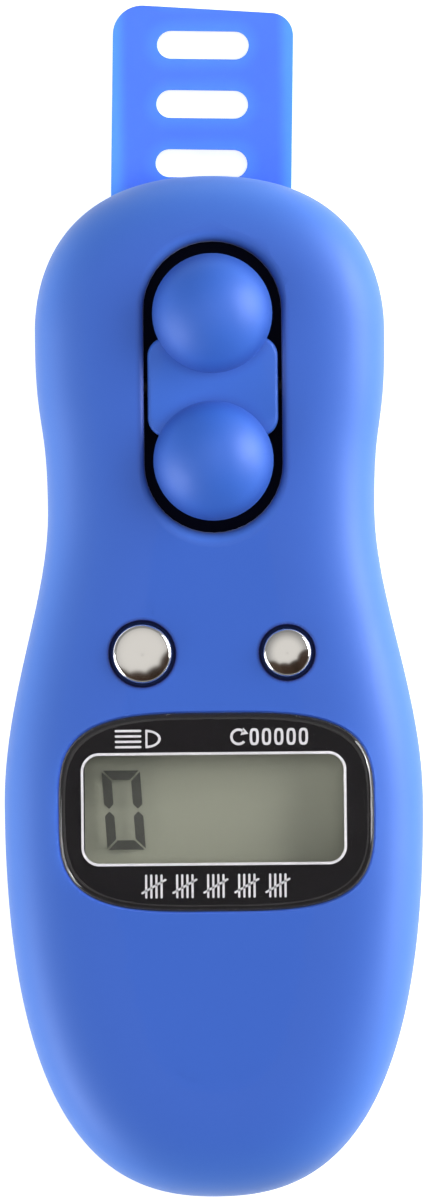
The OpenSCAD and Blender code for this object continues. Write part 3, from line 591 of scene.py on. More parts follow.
def smooth_edges(mesh: Mesh, sharp_angle: float) -> None:
    """Smooths a mesh's shading, apart from its sharp edges.

    Args:
        mesh: The mesh.
        sharp_angle: Edges that turn more than this, in radians, stay sharp.
    """
    with editing(mesh) as work:
        for face in work.faces:
            face.smooth = True
        for edge in work.edges:
            edge.smooth = len(edge.link_faces) == 2 and edge.calc_face_angle(math.pi) < sharp_angle


def add_object(name: str, data: bpy.types.ID) -> Piece:
    """Puts a mesh, lamp or camera in the scene at the origin.

    Args:
        name: The object's name.
        data: Its mesh, lamp or camera.

    Returns:
        The object.
    """
    piece = bpy.data.objects.new(name, data)
    bpy.context.scene.collection.objects.link(piece)
    return piece


def merged_copy(node: str, name: str, sharp_angle: float = SHARP_ANGLE) -> Piece:
    """Copies a CAD node as one joined mesh with smooth shading between its sharp edges.

    Args:
        node: The CAD node.
        name: The new piece's name.
        sharp_angle: Edges that turn more than this, in radians, stay sharp.

    Returns:
        The new piece.
    """
    mesh = bpy.data.meshes.new(name)
    with editing(mesh, frame["nodes"][node].data) as work:
        bmesh.ops.remove_doubles(work, verts=work.verts, dist=MERGE_DISTANCE)
        bmesh.ops.dissolve_degenerate(work, edges=work.edges, dist=MERGE_DISTANCE)
    smooth_edges(mesh, sharp_angle)
    return add_object(name, mesh)


def lofted(name: str, section: list[tuple[list[Spot], float]], hollow: bool = False) -> Piece:
    """Skins a stack of flat rings.

    Args:
        name: The piece's name.
        section: Rings with as many points each, anticlockwise seen from above, and their heights.
        hollow: Whether the last ring joins the first, instead of both ends being closed.

    Returns:
        The new piece.
    """
    mesh = bpy.data.meshes.new(name)
    with editing(mesh) as work:
        rows = [[work.verts.new((x, y, z)) for x, y in ring] for ring, z in section]
        for low, high in zip(rows, rows[1:] + rows[:hollow]):
            for corners in zip(low, low[1:] + low[:1], high[1:] + high[:1], high):
                work.faces.new(corners)
        if not hollow:
            work.faces.new(rows[0][::-1])
            work.faces.new(rows[-1])
    smooth_edges(mesh, SHARP_ANGLE)
    return add_object(name, mesh)


def plate(name: str, outline: list[Spot], low: float, high: float) -> Piece:
    """Makes a flat plate from an outline, between two heights."""
    return lofted(name, [(outline, low), (outline, high)])


def frame_plate(name: str, outer: list[Spot], inner: list[Spot], low: float, high: float) -> Piece:
    """Makes a flat ring from two outlines with as many points, between two heights."""
    return lofted(name, [(outer, low), (outer, high), (inner, high), (inner, low)], hollow=True)


def whole_turn(steps: int, offset: float = 0.0) -> list[float]:
    """Lists the directions of a whole turn's steps, from an offset in steps."""
    return [2 * math.pi * (k + offset) / steps for k in range(steps)]


def part_turn(first: float, last: float, steps: int = 48) -> list[float]:
    """Lists the directions of a part turn's steps, between two angles in degrees."""
    return [math.radians(first + (last - first) * k / steps) for k in range(steps + 1)]


def oval(centre: Spot, half: Spot, power: float, turns: list[float]) -> list[Spot]:
    """Draws an oval or part of one.

    Args:
        centre: Its middle.
        half: Half its width and height.
        power: 2 for an ellipse, more for squarer.
        turns: The direction of each point.

    Returns:
        The points.
    """
    ways = ((math.cos(turn), math.sin(turn)) for turn in turns)
    return [tuple(middle + math.copysign(abs(way) ** (2 / power), way) * size
                  for middle, way, size in zip(centre, pair, half)) for pair in ways]


def box_oval(node: str, inset: float, turns: list[float]) -> list[Spot]:
    """Draws the display lens's outline, a squared oval, in the box of a node.

    Args:
        node: The CAD node.
        inset: How far the outline lies inside the box.
        turns: The direction of each point.

    Returns:
        The points.
    """
    low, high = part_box(node)
    middle, half = (low + high) / 2, (high - low) / 2
    return oval(middle[:2], (half.x - inset, half.y - inset), DISPLAY_POWER, turns)


def finish_piece(piece: Piece, slot: str, body: str, *nodes: str) -> None:
    """Gives a piece its finish, hangs it on the body that it moves with and hides the CAD nodes
    that it stands for.

    Each corner of its mesh keeps how far the surface rolls away from the flat, which finishes with
    a rim colour read for their painted sheen.

    Args:
        piece: The piece.
        slot: The record's material slot, which is also the finish's name.
        body: The CAD body that it moves with.
        nodes: The CAD nodes that it stands for.
    """
    mesh = piece.data
    mesh.materials.clear()
    mesh.materials.append(FINISHES[slot])
    rise = np.array([normal.vector.z for normal in mesh.corner_normals])
    roll = mesh.attributes.new(ROLL_NAME, "FLOAT", "CORNER")
    roll.data.foreach_set("value", np.clip(1 - rise**2, 0, 1) ** ROLL_EASE)
    if nodes:
        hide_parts(*nodes)
    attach(piece, body)
    LOG.info("%s: %d faces, %s, on %s", piece.name, len(mesh.polygons), slot, body)


def bake_modifiers(piece: Piece) -> None:
    """Turns a piece's modifiers into its plain mesh.

    Args:
        piece: The piece.
    """
    graph = bpy.context.evaluated_depsgraph_get()
    mesh = bpy.data.meshes.new_from_object(piece.evaluated_get(graph))
    piece.modifiers.clear()
    piece.data = mesh


def level_shading(piece: Piece) -> None:
    """Lets each flat face keep its own direction, so that only the small faces beside it bend."""
    piece.modifiers.new("level", "WEIGHTED_NORMAL").keep_sharp = True
    bake_modifiers(piece)


def soften(piece: Piece, width: float) -> None:
    """Rounds a piece's hard edges.

    Args:
        piece: The piece.
        width: How far the rounding reaches.
    """
    with editing(piece.data) as work:
        bmesh.ops.dissolve_limit(work, angle_limit=FLAT_ANGLE, verts=work.verts, edges=work.edges)
    modifier = piece.modifiers.new("soften", "BEVEL")
    modifier.width, modifier.segments = width, 3
    modifier.limit_method, modifier.angle_limit = "ANGLE", BEVEL_ANGLE
    bake_modifiers(piece)
    smooth_edges(piece.data, SOFT_ANGLE)
    level_shading(piece)


def grow(piece: Piece, group: NodeTree, values: dict[str, object]) -> None:
    """Runs a Geometry Nodes tree once on a piece and keeps its result as a plain mesh.

    Args:
        piece: The piece that the tree starts from.
        group: The tree.
        values: Its inputs, by socket name.
    """
    modifier = piece.modifiers.new("grow", "NODES")
    modifier.node_group = group
    for item in group.interface.items_tree:
        if item.name in values:
            modifier[item.identifier] = values[item.name]
    bake_modifiers(piece)


def closest(points: np.ndarray, places: np.ndarray) -> np.ndarray:
    """Finds the closest of some points to each place.

    Args:
        points: Rows of two coordinates.
        places: Rows of two coordinates.

    Returns:
        Each place's closest point, by its index.
    """
    tree = KDTree(len(points))
    for index, (x, y) in enumerate(points):
        tree.insert((x, y, 0.0), index)
    tree.balance()
    return np.array([tree.find((x, y, 0.0))[1] for x, y in places], dtype=int)


def unit(rows: np.ndarray) -> np.ndarray:
    """Scales each row to a length of 1."""
    return rows / np.linalg.norm(rows, axis=1, keepdims=True)


class Corners:
    """A mesh's face corners as arrays, whose normals can be set by a rule."""

    def __init__(self, mesh: Mesh) -> None:
        """Reads the corners.

        Args:
            mesh: The mesh.
        """
        self.mesh = mesh
        self.normals = np.array([normal.vector for normal in mesh.corner_normals])
        self.vertex = np.array([loop.vertex_index for loop in mesh.loops])
        self.points = np.array([vertex.co for vertex in mesh.vertices])
        self.places = self.points[self.vertex]
        sides = [polygon.loop_total for polygon in mesh.polygons]
        self.centres = np.repeat([polygon.center for polygon in mesh.polygons], sides, axis=0)
        self.facing = np.repeat([polygon.normal for polygon in mesh.polygons], sides, axis=0)

    def turn(self, use: np.ndarray, normals: np.ndarray) -> None:
        """Gives the chosen corners new normals and writes them to the mesh."""
        self.normals[use] = normals[use]
        self.mesh.normals_split_custom_set(self.normals.tolist())


@dataclass
class CaseOutline:
    """Outline of the case seen from above: four cubic curves a side, mirrored."""

    top_y: float = 33.375 * MM
    bottom_y: float = -46.625 * MM
    head: Spot = (13.7 * MM, 20.775 * MM)
    waist: Spot = (12.8 * MM, 7.175 * MM)
    belly: Spot = (16.4 * MM, -15.825 * MM)
    top_pull: float = 14.2 * MM
    head_pull: float = 1.2 * MM
    neck_pull: float = 7.5 * MM
    waist_pull: float = 7.0 * MM
    hip_pull: float = 8.6 * MM
    belly_pull: float = 29.0 * MM
    bottom_pull: float = 6.2 * MM
    steps: int = 250

    def sample(self) -> tuple[np.ndarray, np.ndarray]:
        """Samples the outline.

        Returns:
            Points on the outline and the inward direction at each.
        """
        head, waist, belly = (np.array(p) for p in (self.head, self.waist, self.belly))
        down = np.array((0.0, 1.0))
        top, bottom = np.array((0.0, self.top_y)), np.array((0.0, self.bottom_y))
        curves = (
            (top, (self.top_pull, self.top_y), head + down * self.head_pull, head),
            (head, head - down * self.neck_pull, waist + down * self.neck_pull, waist),
            (waist, waist - down * self.waist_pull, belly + down * self.hip_pull, belly),
            (belly, belly - down * self.belly_pull, (self.bottom_pull, self.bottom_y), bottom))
        share = np.linspace(0, 1, self.steps, endpoint=False)[:, None]
        rest = 1 - share
        points, inward = [], []
        for a, b, c, d in (tuple(map(np.array, curve)) for curve in curves):
            points.append(rest**3 * a + 3 * rest**2 * share * b + 3 * rest * share**2 * c
                          + share**3 * d)
            slope = rest**2 * (b - a) + 2 * rest * share * (c - b) + share**2 * (d - c)
            inward.append(unit(np.stack((slope[:, 1], -slope[:, 0]), axis=1)))
        flip = np.array((-1.0, 1.0))
        right, turn = np.concatenate(points), np.concatenate(inward)
        return np.concatenate((right, right * flip)), np.concatenate((turn, turn * flip))


@dataclass
class EdgeRoll:
    """How one shell rolls from its flat face to its side."""

    flat_z: float
    side_z: float
    reach: float
    power: float
    outline: CaseOutline
    tolerance: float = 0.12 * MM
    agree: float = math.cos(math.radians(28))
    steps: int = 600

    def profile(self) -> tuple[np.ndarray, np.ndarray]:
        """Samples the roll's section.

        Returns:
            Points of distance and height, and the outward direction at each.
        """
        angle = np.linspace(0, math.pi / 2, self.steps)
        share = 1 - np.cos(angle) ** (2 / self.power)
        rise = np.sin(angle) ** (2 / self.power)
        height = self.flat_z - self.side_z
        points = np.stack((share * self.reach, self.side_z + rise * height), axis=1)
        flat = np.stack((np.linspace(self.reach, 3 * self.reach, self.steps),
                         np.full(self.steps, self.flat_z)), axis=1)
        normals = unit(np.stack((-(1 - share) ** (self.power - 1) / self.reach,
                                 rise ** (self.power - 1) / height), axis=1))
        level = np.tile((0.0, math.copysign(1.0, height)), (self.steps, 1))
        return np.concatenate((points, flat)), np.concatenate((normals, level))

    def snap(self, places: np.ndarray) -> tuple[np.ndarray, np.ndarray, np.ndarray]:
        """Finds the true rolled face at points on or close to it.

        Args:
            places: Points as rows of x, y and z.

        Returns:
            Whether each point lies on the face, the nearest true point and the direction there.
        """
        rim, inward = self.outline.sample()
        index = closest(rim, places[:, :2])
        inward = inward[index]
        distance = ((places[:, :2] - rim[index]) * inward).sum(axis=1)
        section, turn = self.profile()
        spots = np.stack((distance, places[:, 2]), axis=1)
        index = closest(section, spots)
        near = np.linalg.norm(spots - section[index], axis=1) < self.tolerance
        moved = places[:, :2] + inward * (section[index, 0] - distance)[:, None]
        out = turn[index]
        return (near, np.concatenate((moved, section[index, 1:]), axis=1),
                np.concatenate((inward * out[:, :1], out[:, 1:]), axis=1))


@dataclass
class RockerOpening:
    """The rocker's opening in the front shell, whose edge rolls inwards."""

    radius: float = 5.4 * MM
    arm: float = 5.98 * MM
    side_round: float = 0.5 * MM
    end_round: float = 1.4 * MM
    floor_z: float = 11 * MM
    ease: float = 1.4

    def level(self, places: np.ndarray) -> tuple[np.ndarray, np.ndarray]:
        """Tells how far points lie down the rolled edge.

        Args:
            places: Points as rows of x, y and z.

        Returns:
            Each point's share of the roll, 0 at its brim and 1 at its foot, and the way out there.
        """
        spot = places[:, :2] - ROCKER_CENTRE
        spot[:, 1] -= np.clip(spot[:, 1], -self.arm, self.arm)
        reach = np.linalg.norm(spot, axis=1)
        out = spot / np.maximum(reach, 1e-9)[:, None]
        width = self.side_round + (self.end_round - self.side_round) * np.abs(out[:, 1])
        return 1 - (reach - self.radius) / width, out

    def holds(self, places: np.ndarray) -> np.ndarray:
        """Tells which points lie on the roll."""
        level = self.level(places)[0]
        return (level > 0.001) & (level < 1.01) & (places[:, 2] > self.floor_z)

    def normals(self, places: np.ndarray, base: np.ndarray) -> np.ndarray:
        """Gives the direction of the rolled edge at points on it.

        Args:
            places: Points as rows of x, y and z.
            base: Direction of the case's own face at each.

        Returns:
            The direction at each point.
        """
        level, out = self.level(places)
        level = np.clip(level, 0, 1)[:, None] ** self.ease
        rise = np.sqrt(1 - level**2)
        lean = base[:, :2] / np.maximum(base[:, 2:], 0.2)
        return unit(np.concatenate((lean * rise - out * level, rise), axis=1))


@dataclass
class Case:
    """The two moulded shells, refined and shaded by the curves that they were lofted from."""

    front: EdgeRoll
    back: EdgeRoll
    opening: RockerOpening
    sag: float = 0.006 * MM
    rounds: int = 3

    def refine(self, piece: Piece, roll: EdgeRoll) -> None:
        """Cuts the shell's outer facets finer and lays the new points on the true curves.

        Args:
            piece: The shell.
            roll: Its edge roll.
        """
        with editing(piece.data) as work:
            bmesh.ops.triangulate(work, faces=work.faces)
            for _ in range(self.rounds):
                places = np.array([vertex.co for vertex in work.verts])
                outer = roll.snap(places)[0] & ~self.opening.holds(places)
                work.verts.index_update()
                edges = [edge for edge in work.edges if all(outer[v.index] for v in edge.verts)]
                middles = np.array([(edge.verts[0].co + edge.verts[1].co) / 2 for edge in edges])
                near, true, _ = roll.snap(middles)
                off = near & (np.linalg.norm(true - middles, axis=1) > self.sag)
                cut = [edge for edge, wanted in zip(edges, off) if wanted]
                if not cut:
                    break
                bmesh.ops.subdivide_edges(work, edges=cut, cuts=1, use_grid_fill=True)
                bmesh.ops.triangulate(work, faces=work.faces)
                added = list(work.verts)[len(places):]
                spots = roll.snap(np.array([vertex.co for vertex in added]))[1]
                for vertex, spot in zip(added, spots):
                    vertex.co = spot

    def shade(self, mesh: Mesh, roll: EdgeRoll) -> None:
        """Sets a shell's normals to those of its true curves where it lies on them.

        Args:
            mesh: The shell's mesh.
            roll: Its edge roll.
        """
        corners = Corners(mesh)
        near, _, base = (found[corners.vertex] for found in roll.snap(corners.points))
        in_opening = self.opening.holds(corners.centres)
        rolled = self.opening.normals(corners.places, base)
        for use, true in ((near & ~in_opening, base), (in_opening, rolled)):
            corners.turn(use & ((corners.facing * true).sum(axis=1) > roll.agree), true)

    def build(self) -> None:
        """Makes and dresses both shells."""
        for node, name, roll in (("front_shell", "case_front", self.front),
                                 ("back_shell", "case_back", self.back)):
            piece = merged_copy(node, name)
            self.refine(piece, roll)
            smooth_edges(piece.data, SHARP_ANGLE)
            level_shading(piece)
            self.shade(piece.data, roll)
            finish_piece(piece, "case_plastic", "case", node)


@dataclass
class Rocker:
    """The two-way thumb rocker: a plate with two domes."""

    dome_arm: float = 5.75 * MM
    dome_radius: float = 4.66 * MM
    dome_height: float = 3.2 * MM
    plate_z: float = 13.0 * MM
    tolerance: float = 0.05 * MM

    def shade(self, mesh: Mesh) -> None:
        """Sets the domes' normals to those of their true spheres.

        Args:
            mesh: The rocker's mesh.
        """
        sphere = (self.dome_radius**2 + self.dome_height**2) / (2 * self.dome_height)
        corners = Corners(mesh)
        for side in (-1, 1):
            out = corners.places - (ROCKER_CENTRE[0], ROCKER_CENTRE[1] + side * self.dome_arm,
                                    self.plate_z + self.dome_height - sphere)
            on_sphere = np.abs(np.linalg.norm(out, axis=1) - sphere) < self.tolerance
            above = corners.centres[:, 2] > self.plate_z + self.tolerance
            corners.turn(on_sphere & above, unit(out))

    def build(self) -> None:
        """Makes and dresses the rocker."""
        piece = merged_copy("rocker_key", "thumb_rocker", math.radians(25))
        level_shading(piece)
        self.shade(piece.data)
        finish_piece(piece, "key_plastic", "rocker", "rocker_key")


@dataclass
class ChromeButton:
    """One chrome-plated push button: a flange, a straight side and a rounded top edge."""

    node: str
    body: str
    flange: float = 0.75 * MM
    flange_height: float = 0.5 * MM
    edge: float = 0.5 * MM
    crown: float = 0.25 * MM
    turns: int = 128
    edge_steps: int = 16
    top_steps: int = 10

    def build(self) -> None:
        """Makes and dresses the plated cap and the flange under it."""
        low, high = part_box(self.node)
        middle = (low + high) / 2
        wide = (high.x - low.x) / 2
        radius = wide - self.flange
        shelf = low.z + self.flange_height
        slope = math.atan(2 * self.crown / (radius - self.edge))
        turned_r = radius - self.edge * (1 - math.sin(slope))
        crown = self.crown * (turned_r / (radius - self.edge)) ** 2
        top = high.z - crown - self.edge * math.cos(slope)
        cap = [(radius, shelf)]
        for angle in np.linspace(0, math.pi / 2 - slope, self.edge_steps):
            inset = self.edge * (1 - math.cos(angle))
            cap.append((radius - inset, top + self.edge * math.sin(angle)))
        for k in range(1, self.top_steps):
            share = 1 - k / self.top_steps
            cap.append((turned_r * share, high.z - crown * share**2))
        for part, slot, section in (("_cap", "chrome", cap),
                                    ("_flange", "key_plastic", [(wide, low.z), (wide, shelf)])):
            rings = [(oval(middle[:2], (r, r), 2, whole_turn(self.turns)), z) for r, z in section]
            finish_piece(lofted(self.node + part, rings), slot, self.body, self.node)


@dataclass
class Lens:
    """The clear lens over the display, with a rounded rim that stands proud of the case."""

    edge: float = 0.55 * MM
    turns: int = 200
    edge_steps: int = 12

    def build(self) -> None:
        """Makes and dresses the lens."""
        low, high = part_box("display_lens")
        section = [(0.0, low.z)]
        for angle in np.linspace(0, math.pi / 2, self.edge_steps + 1):
            section.append((self.edge * (1 - math.cos(angle)),
                            high.z - self.edge * (1 - math.sin(angle))))
        turns = whole_turn(self.turns)
        piece = lofted("display_cover", [(box_oval("display_lens", inset, turns), z)
                                         for inset, z in section])
        level_shading(piece)
        piece.visible_shadow = False
        finish_piece(piece, "clear_lens", "case", "display_lens")


@dataclass
class WindowPrint:
    """The black print behind the lens and the white line round its window."""

    centre: Spot = (0.0, -16.17 * MM)
    half: Spot = (10.37 * MM, 4.42 * MM)
    corner: float = 1.45 * MM
    line: float = 0.2 * MM
    turns: int = 200

    def window(self, inset: float) -> list[Spot]:
        """Draws the window's outline, a rounded rectangle.

        Args:
            inset: How far it lies inside the line's outer edge.

        Returns:
            The points.
        """
        radius = self.corner - inset
        return [tuple(middle + math.copysign(size - inset - radius, way) + radius * way
                      for middle, size, way in zip(self.centre, self.half,
                                                   (math.cos(turn), math.sin(turn))))
                for turn in whole_turn(self.turns, 0.5)]

    def build(self) -> None:
        """Makes and dresses the print and the line."""
        outer = box_oval("display_mask", 0.0, whole_turn(self.turns, 0.5))
        for name, slot, node, outline in (
                ("print_mask", "black_print", "display_mask", outer),
                ("print_line", "white_print", "display_line", self.window(0.0))):
            low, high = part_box(node)
            piece = frame_plate(name, outline, self.window(self.line), low.z, high.z)
            piece.visible_shadow = node != "display_mask"
            finish_piece(piece, slot, "case", node)


@dataclass
class DisplayGlass:
    """The display's film and its two glasses, which let the lamps reach what lies under them."""

    layers: tuple[tuple[str, str], ...] = (
        ("lcd_film", "display_film"), ("lcd_front_glass", "display_glass"),
        ("lcd_rear_glass", "display_glass"))

    def build(self) -> None:
        """Makes and dresses every layer."""
        for node, slot in self.layers:
            piece = merged_copy(node, node + "_clear")
            piece.visible_shadow = False
            finish_piece(piece, slot, "case", node)


@dataclass
class Moulding:
    """A plain moulding with its hard edges rounded: the finger strap or the battery door."""

    node: str
    name: str
    slot: str
    body: str
    bevel: float

    def build(self) -> None:
        """Makes and dresses the moulding."""
        piece = merged_copy(self.node, self.name)
        soften(piece, self.bevel)
        finish_piece(piece, self.slot, self.body, self.node)


class Growth:
    """Geometry Nodes groups that repeat a piece by a rule."""

    @staticmethod
    def close(group: Group, shape: Socket) -> NodeTree:
        """Ends a group: makes its copies real and gives them their material.

        Args:
            group: The group.
            shape: The copies.

        Returns:
            The group's tree.
        """
        real = group.add("GeometryNodeRealizeInstances", {0: shape}).outputs[0]
        inputs = {"Geometry": real, "Material": group.given["Material"]}
        return group.end(group.add("GeometryNodeSetMaterial", inputs).outputs[0])

    @staticmethod
    def rows() -> NodeTree:
        """Makes a group that repeats a piece in a row, and the row in groups.

        Returns:
            The group.
        """
        group = Group("repeat_in_groups", GEOMETRY_TREE, {
            "Geometry": Kind.GEOMETRY, "Count": Kind.COUNT, "Step": Kind.VECTOR,
            "Groups": Kind.COUNT, "Group Step": Kind.VECTOR, "Material": Kind.MATERIAL,
        }, {"Geometry": Kind.GEOMETRY})
        shape = group.given["Geometry"]
        for count, step in (("Count", "Step"), ("Groups", "Group Step")):
            line = group.add("GeometryNodeMeshLine", {"Count": group.given[count],
                                                      "Offset": group.given[step]}, mode="OFFSET")
            shape = group.add("GeometryNodeInstanceOnPoints",
                              {"Points": line.outputs[0], "Instance": shape}).outputs[0]
        return Growth.close(group, shape)

    @staticmethod
    def pairs() -> NodeTree:
        """Makes a group that sets a piece at two spots and their mirror images, turned at random.

        Returns:
            The group.
        """
        group = Group("mirrored_pairs", GEOMETRY_TREE, {
            "Geometry": Kind.GEOMETRY, "First": Kind.VECTOR, "Second": Kind.VECTOR,
            "Seed": Kind.COUNT, "Material": Kind.MATERIAL,
        }, {"Geometry": Kind.GEOMETRY})
        joined = group.add("GeometryNodeJoinGeometry")
        for name in ("First", "Second"):
            spot = group.given[name]
            across = group.add("ShaderNodeVectorMath", {0: spot, 1: (-2.0, 0.0, 0.0)},
                               operation="MULTIPLY").outputs[0]
            line = group.add("GeometryNodeMeshLine", {"Count": 2, "Start Location": spot,
                                                      "Offset": across}, mode="OFFSET")
            group.tree.links.new(line.outputs[0], joined.inputs[0])
        turn = group.add("FunctionNodeRandomValue",
                         {0: (0.0, 0.0, 0.0), 1: (0.0, 0.0, math.pi), "Seed": group.given["Seed"]},
                         data_type="FLOAT_VECTOR").outputs[0]
        copies = group.add("GeometryNodeInstanceOnPoints", {
            "Points": joined.outputs[0], "Instance": group.given["Geometry"], "Rotation": turn})
        return Growth.close(group, copies.outputs[0])


GROWTH = {make.__name__: make() for make in (Growth.rows, Growth.pairs)}


@dataclass
class Marks:
    """White marks under the lens: a lamp, a reset arrow with zeros, and tally strokes."""

    low: float = 12.565 * MM
    high: float = 12.59 * MM
    stroke: float = 0.2 * MM
    lamp_at: Spot = (-5.85 * MM, -10.67 * MM)
    reset_at: Spot = (4.4 * MM, -10.57 * MM)
    tally_at: Spot = (0.1 * MM, -22.2 * MM)

    def bar(self, name: str, start: Spot, end: Spot, width: float) -> Piece:
        """Makes one straight stroke with round ends.

        Args:
            name: The piece's name.
            start: One end of its middle line.
            end: The other end.
            width: Its width.

        Returns:
            The stroke.
        """
        lean = math.degrees(math.atan2(end[1] - start[1], end[0] - start[0]))
        half = (width / 2, width / 2)
        outline = (oval(end, half, 2, part_turn(lean - 90, lean + 90, 8))
                   + oval(start, half, 2, part_turn(lean + 90, lean + 270, 8)))
        return plate(name, outline, self.low, self.high)

    def dress(self, piece: Piece) -> None:
        """Gives a mark its finish."""
        finish_piece(piece, "white_print", "case")

    def repeat(self, piece: Piece, count: int, step: Point, groups: int = 1,
               group_step: float = 0.0) -> None:
        """Repeats a mark in a row or in groups and dresses it.

        Args:
            piece: The mark.
            count: How many stand in a row.
            step: The way from one to the next.
            groups: How many rows there are.
            group_step: Distance from one row to the next, along X.
        """
        grow(piece, GROWTH["rows"], {
            "Count": count, "Step": step, "Groups": groups, "Group Step": (group_step, 0.0, 0.0),
            "Material": FINISHES["white_print"]})
        self.dress(piece)

    def lamp(self) -> None:
        """Makes the lamp: a bowl with four rays."""
        x, y = self.lamp_at
        half, tall = 1.2 * MM, 0.72 * MM
        flat, arc = x + 0.55 * MM, part_turn(-90, 90)
        outer = oval((flat, y), (half, tall), 2, arc)
        inner = [(px - self.stroke * (px - flat) / half, py) for px, py in oval(
            (flat + self.stroke, y), (half - self.stroke, tall - self.stroke), 2, arc)]
        self.dress(frame_plate("mark_lamp", outer, inner, self.low, self.high))
        ray_y = y - 0.63 * MM
        ends = ((x - 1.75 * MM, ray_y), (x + 0.15 * MM, ray_y))
        self.repeat(self.bar("mark_rays", *ends, 0.9 * self.stroke), 4, (0.0, 0.42 * MM, 0.0))

    def reset(self) -> None:
        """Makes the reset mark: an arrow that turns back, and five zeros."""
        x, y = self.reset_at
        middle, radius, first = (x - 2.42 * MM, y), 0.56 * MM, 40.0
        outer, inner = (oval(middle, (side, side), 2, part_turn(first, 320.0))
                        for side in (radius + self.stroke / 2, radius - self.stroke / 2))
        self.dress(plate("mark_turn", outer + inner[::-1], self.low, self.high))
        tip, = oval(middle, (radius, radius), 2, [math.radians(first)])
        head = oval(tip, (0.36 * MM, 0.36 * MM), 2, part_turn(first - 60, first + 180, 2))
        self.dress(plate("mark_arrow", head, self.low, self.high))
        at, half, tall = (x - 1.2 * MM, y), 0.36 * MM, 0.66 * MM
        outer, inner = (oval(at, (half - inset, tall - inset), 3, whole_turn(48))
                        for inset in (0.0, self.stroke))
        zero = frame_plate("mark_zeros", outer, inner, self.low, self.high)
        self.repeat(zero, 5, (0.96 * MM, 0.0, 0.0))

    def tally(self) -> None:
        """Makes the tally strokes: groups of four, each struck through."""
        x, y = self.tally_at
        tall, step, groups, group_step = 0.85 * MM, 0.4 * MM, 5, 2.42 * MM
        first = x - (groups - 1) * group_step / 2 - 1.5 * step
        stroke = self.bar("mark_strokes", (first, y - tall), (first, y + tall), 0.85 * self.stroke)
        self.repeat(stroke, 4, (step, 0.0, 0.0), groups, group_step)
        slash = self.bar("mark_slashes", (first - 0.3 * MM, y - 0.6 * tall),
                         (first + 3 * step + 0.3 * MM, y + 0.6 * tall), 0.85 * self.stroke)
        self.repeat(slash, 1, (0.0, 0.0, 0.0), groups, group_step)

    def build(self) -> None:
        """Makes and dresses every mark."""
        self.lamp()
        self.reset()
        self.tally()


@dataclass
class Screw:
    """A pan-head screw with a cross recess, which points up from the back.

    Where it has two spots, it is repeated at both and at their mirror images.
    """

    node: str
    body: str
    head_height: float
    spots: tuple[Point, Point] | None = None
    seed: int = 5
    head_radius: float = 1.5 * MM
    chamfer: float = 0.18 * MM
    shank: float = 0.795 * MM
    thread: float = 0.12 * MM
    pitch: float = 0.4 * MM
    arm: float = 0.85 * MM
    arm_width: float = 0.35 * MM
    depth: float = 0.4 * MM
    taper: float = 0.6

    def cross(self, scale: float, turns: list[float]) -> list[float]:
        """Draws the recess.

        Args:
            scale: 1 at the head's face, less at its floor.
            turns: Direction of each point.

        Returns:
            Each point's distance from the axis.
        """
        arm, half = self.arm * scale, self.arm_width * scale / 2
        ways = ((max(abs(math.cos(turn)), 1e-6), max(abs(math.sin(turn)), 1e-6)) for turn in turns)
        return [max(min(arm / c, half / s), min(arm / s, half / c)) for c, s in ways]

    def shape(self, at: Spot) -> Piece:
        """Makes one screw.

        Args:
            at: Its axis.

        Returns:
            The screw.
        """
        low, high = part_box(self.node)
        tip = math.degrees(math.atan2(self.arm_width / 2, self.arm))
        turns = sorted(math.radians(quarter + turn) for quarter in range(0, 360, 90)
                       for turn in (-tip, 0, tip, *range(10, 90, 10), 45))
        head = low.z + self.head_height
        wide, z = self.head_radius, head + self.pitch
        section = [(wide - self.chamfer, low.z), (wide, low.z + self.chamfer), (wide, head),
                   (self.shank, head)]
        while z < high.z - self.pitch:
            section += [(self.shank - self.thread, z), (self.shank, z + self.pitch / 2)]
            z += self.pitch
        section.append((self.shank * self.taper, high.z))
        rings = [(self.cross(scale, turns), low.z + deep)
                 for scale, deep in ((self.taper, self.depth), (1.0, 0.0))]
        rings += [([radius] * len(turns), z) for radius, z in section]
        return lofted(self.node + "_drive", [
            ([(at[0] + reach * math.cos(turn), at[1] + reach * math.sin(turn))
              for reach, turn in zip(ring, turns)], z) for ring, z in rings])

    def build(self) -> None:
        """Makes and dresses the screw where its node stands, or one at each of its spots."""
        if self.spots:
            piece = self.shape((0.0, 0.0))
            grow(piece, GROWTH["pairs"], {"First": self.spots[0], "Second": self.spots[1],
                                          "Seed": self.seed, "Material": FINISHES["screw_steel"]})
        else:
            low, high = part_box(self.node)
            piece = self.shape(((low + high) / 2)[:2])
        finish_piece(piece, "screw_steel", self.body, self.node)


class PlainNodes:
    """CAD nodes whose own shape is right, which only get their finish."""

    def build(self) -> None:
        """Dresses the nodes by the slots that the record gives."""
        for entry in frame["record"]["subparts"]:
            materials = frame["nodes"][entry["node"]].data.materials
            materials.clear()
            materials.append(FINISHES[entry["material_slot"]])


@dataclass
class StudioCamera:
    """The camera straight above the counter."""

    lens: float = 600.0
    half_sensor: float = 18.0
    view_length: float = 94.08 * MM
    centre: Spot = (0.16 * MM, 0.13 * MM)
    plane_z: float = 6.6 * MM
    roll: float = math.radians(-0.53)

    def build(self) -> None:
        """Makes the camera and gives it to the scene."""
        data = bpy.data.cameras.new("camera")
        data.lens = self.lens
        distance = self.view_length / 2 * self.lens / self.half_sensor
        data.clip_start, data.clip_end = distance * 0.1, distance * 10
        camera = add_object("camera", data)
        camera.location = (*self.centre, self.plane_z + distance)
        camera.rotation_euler = (0, 0, self.roll)
        bpy.context.scene.camera = camera


def direction(azimuth: float, elevation: float) -> Vector:
    """Gives a direction from two angles.

    Args:
        azimuth: Degrees from +X towards +Y.
        elevation: Degrees above the floor.

    Returns:
        The unit vector.
    """
    turn, rise = math.radians(azimuth), math.radians(elevation)
    flat = math.cos(rise)
    return Vector((math.cos(turn) * flat, math.sin(turn) * flat, math.sin(rise)))


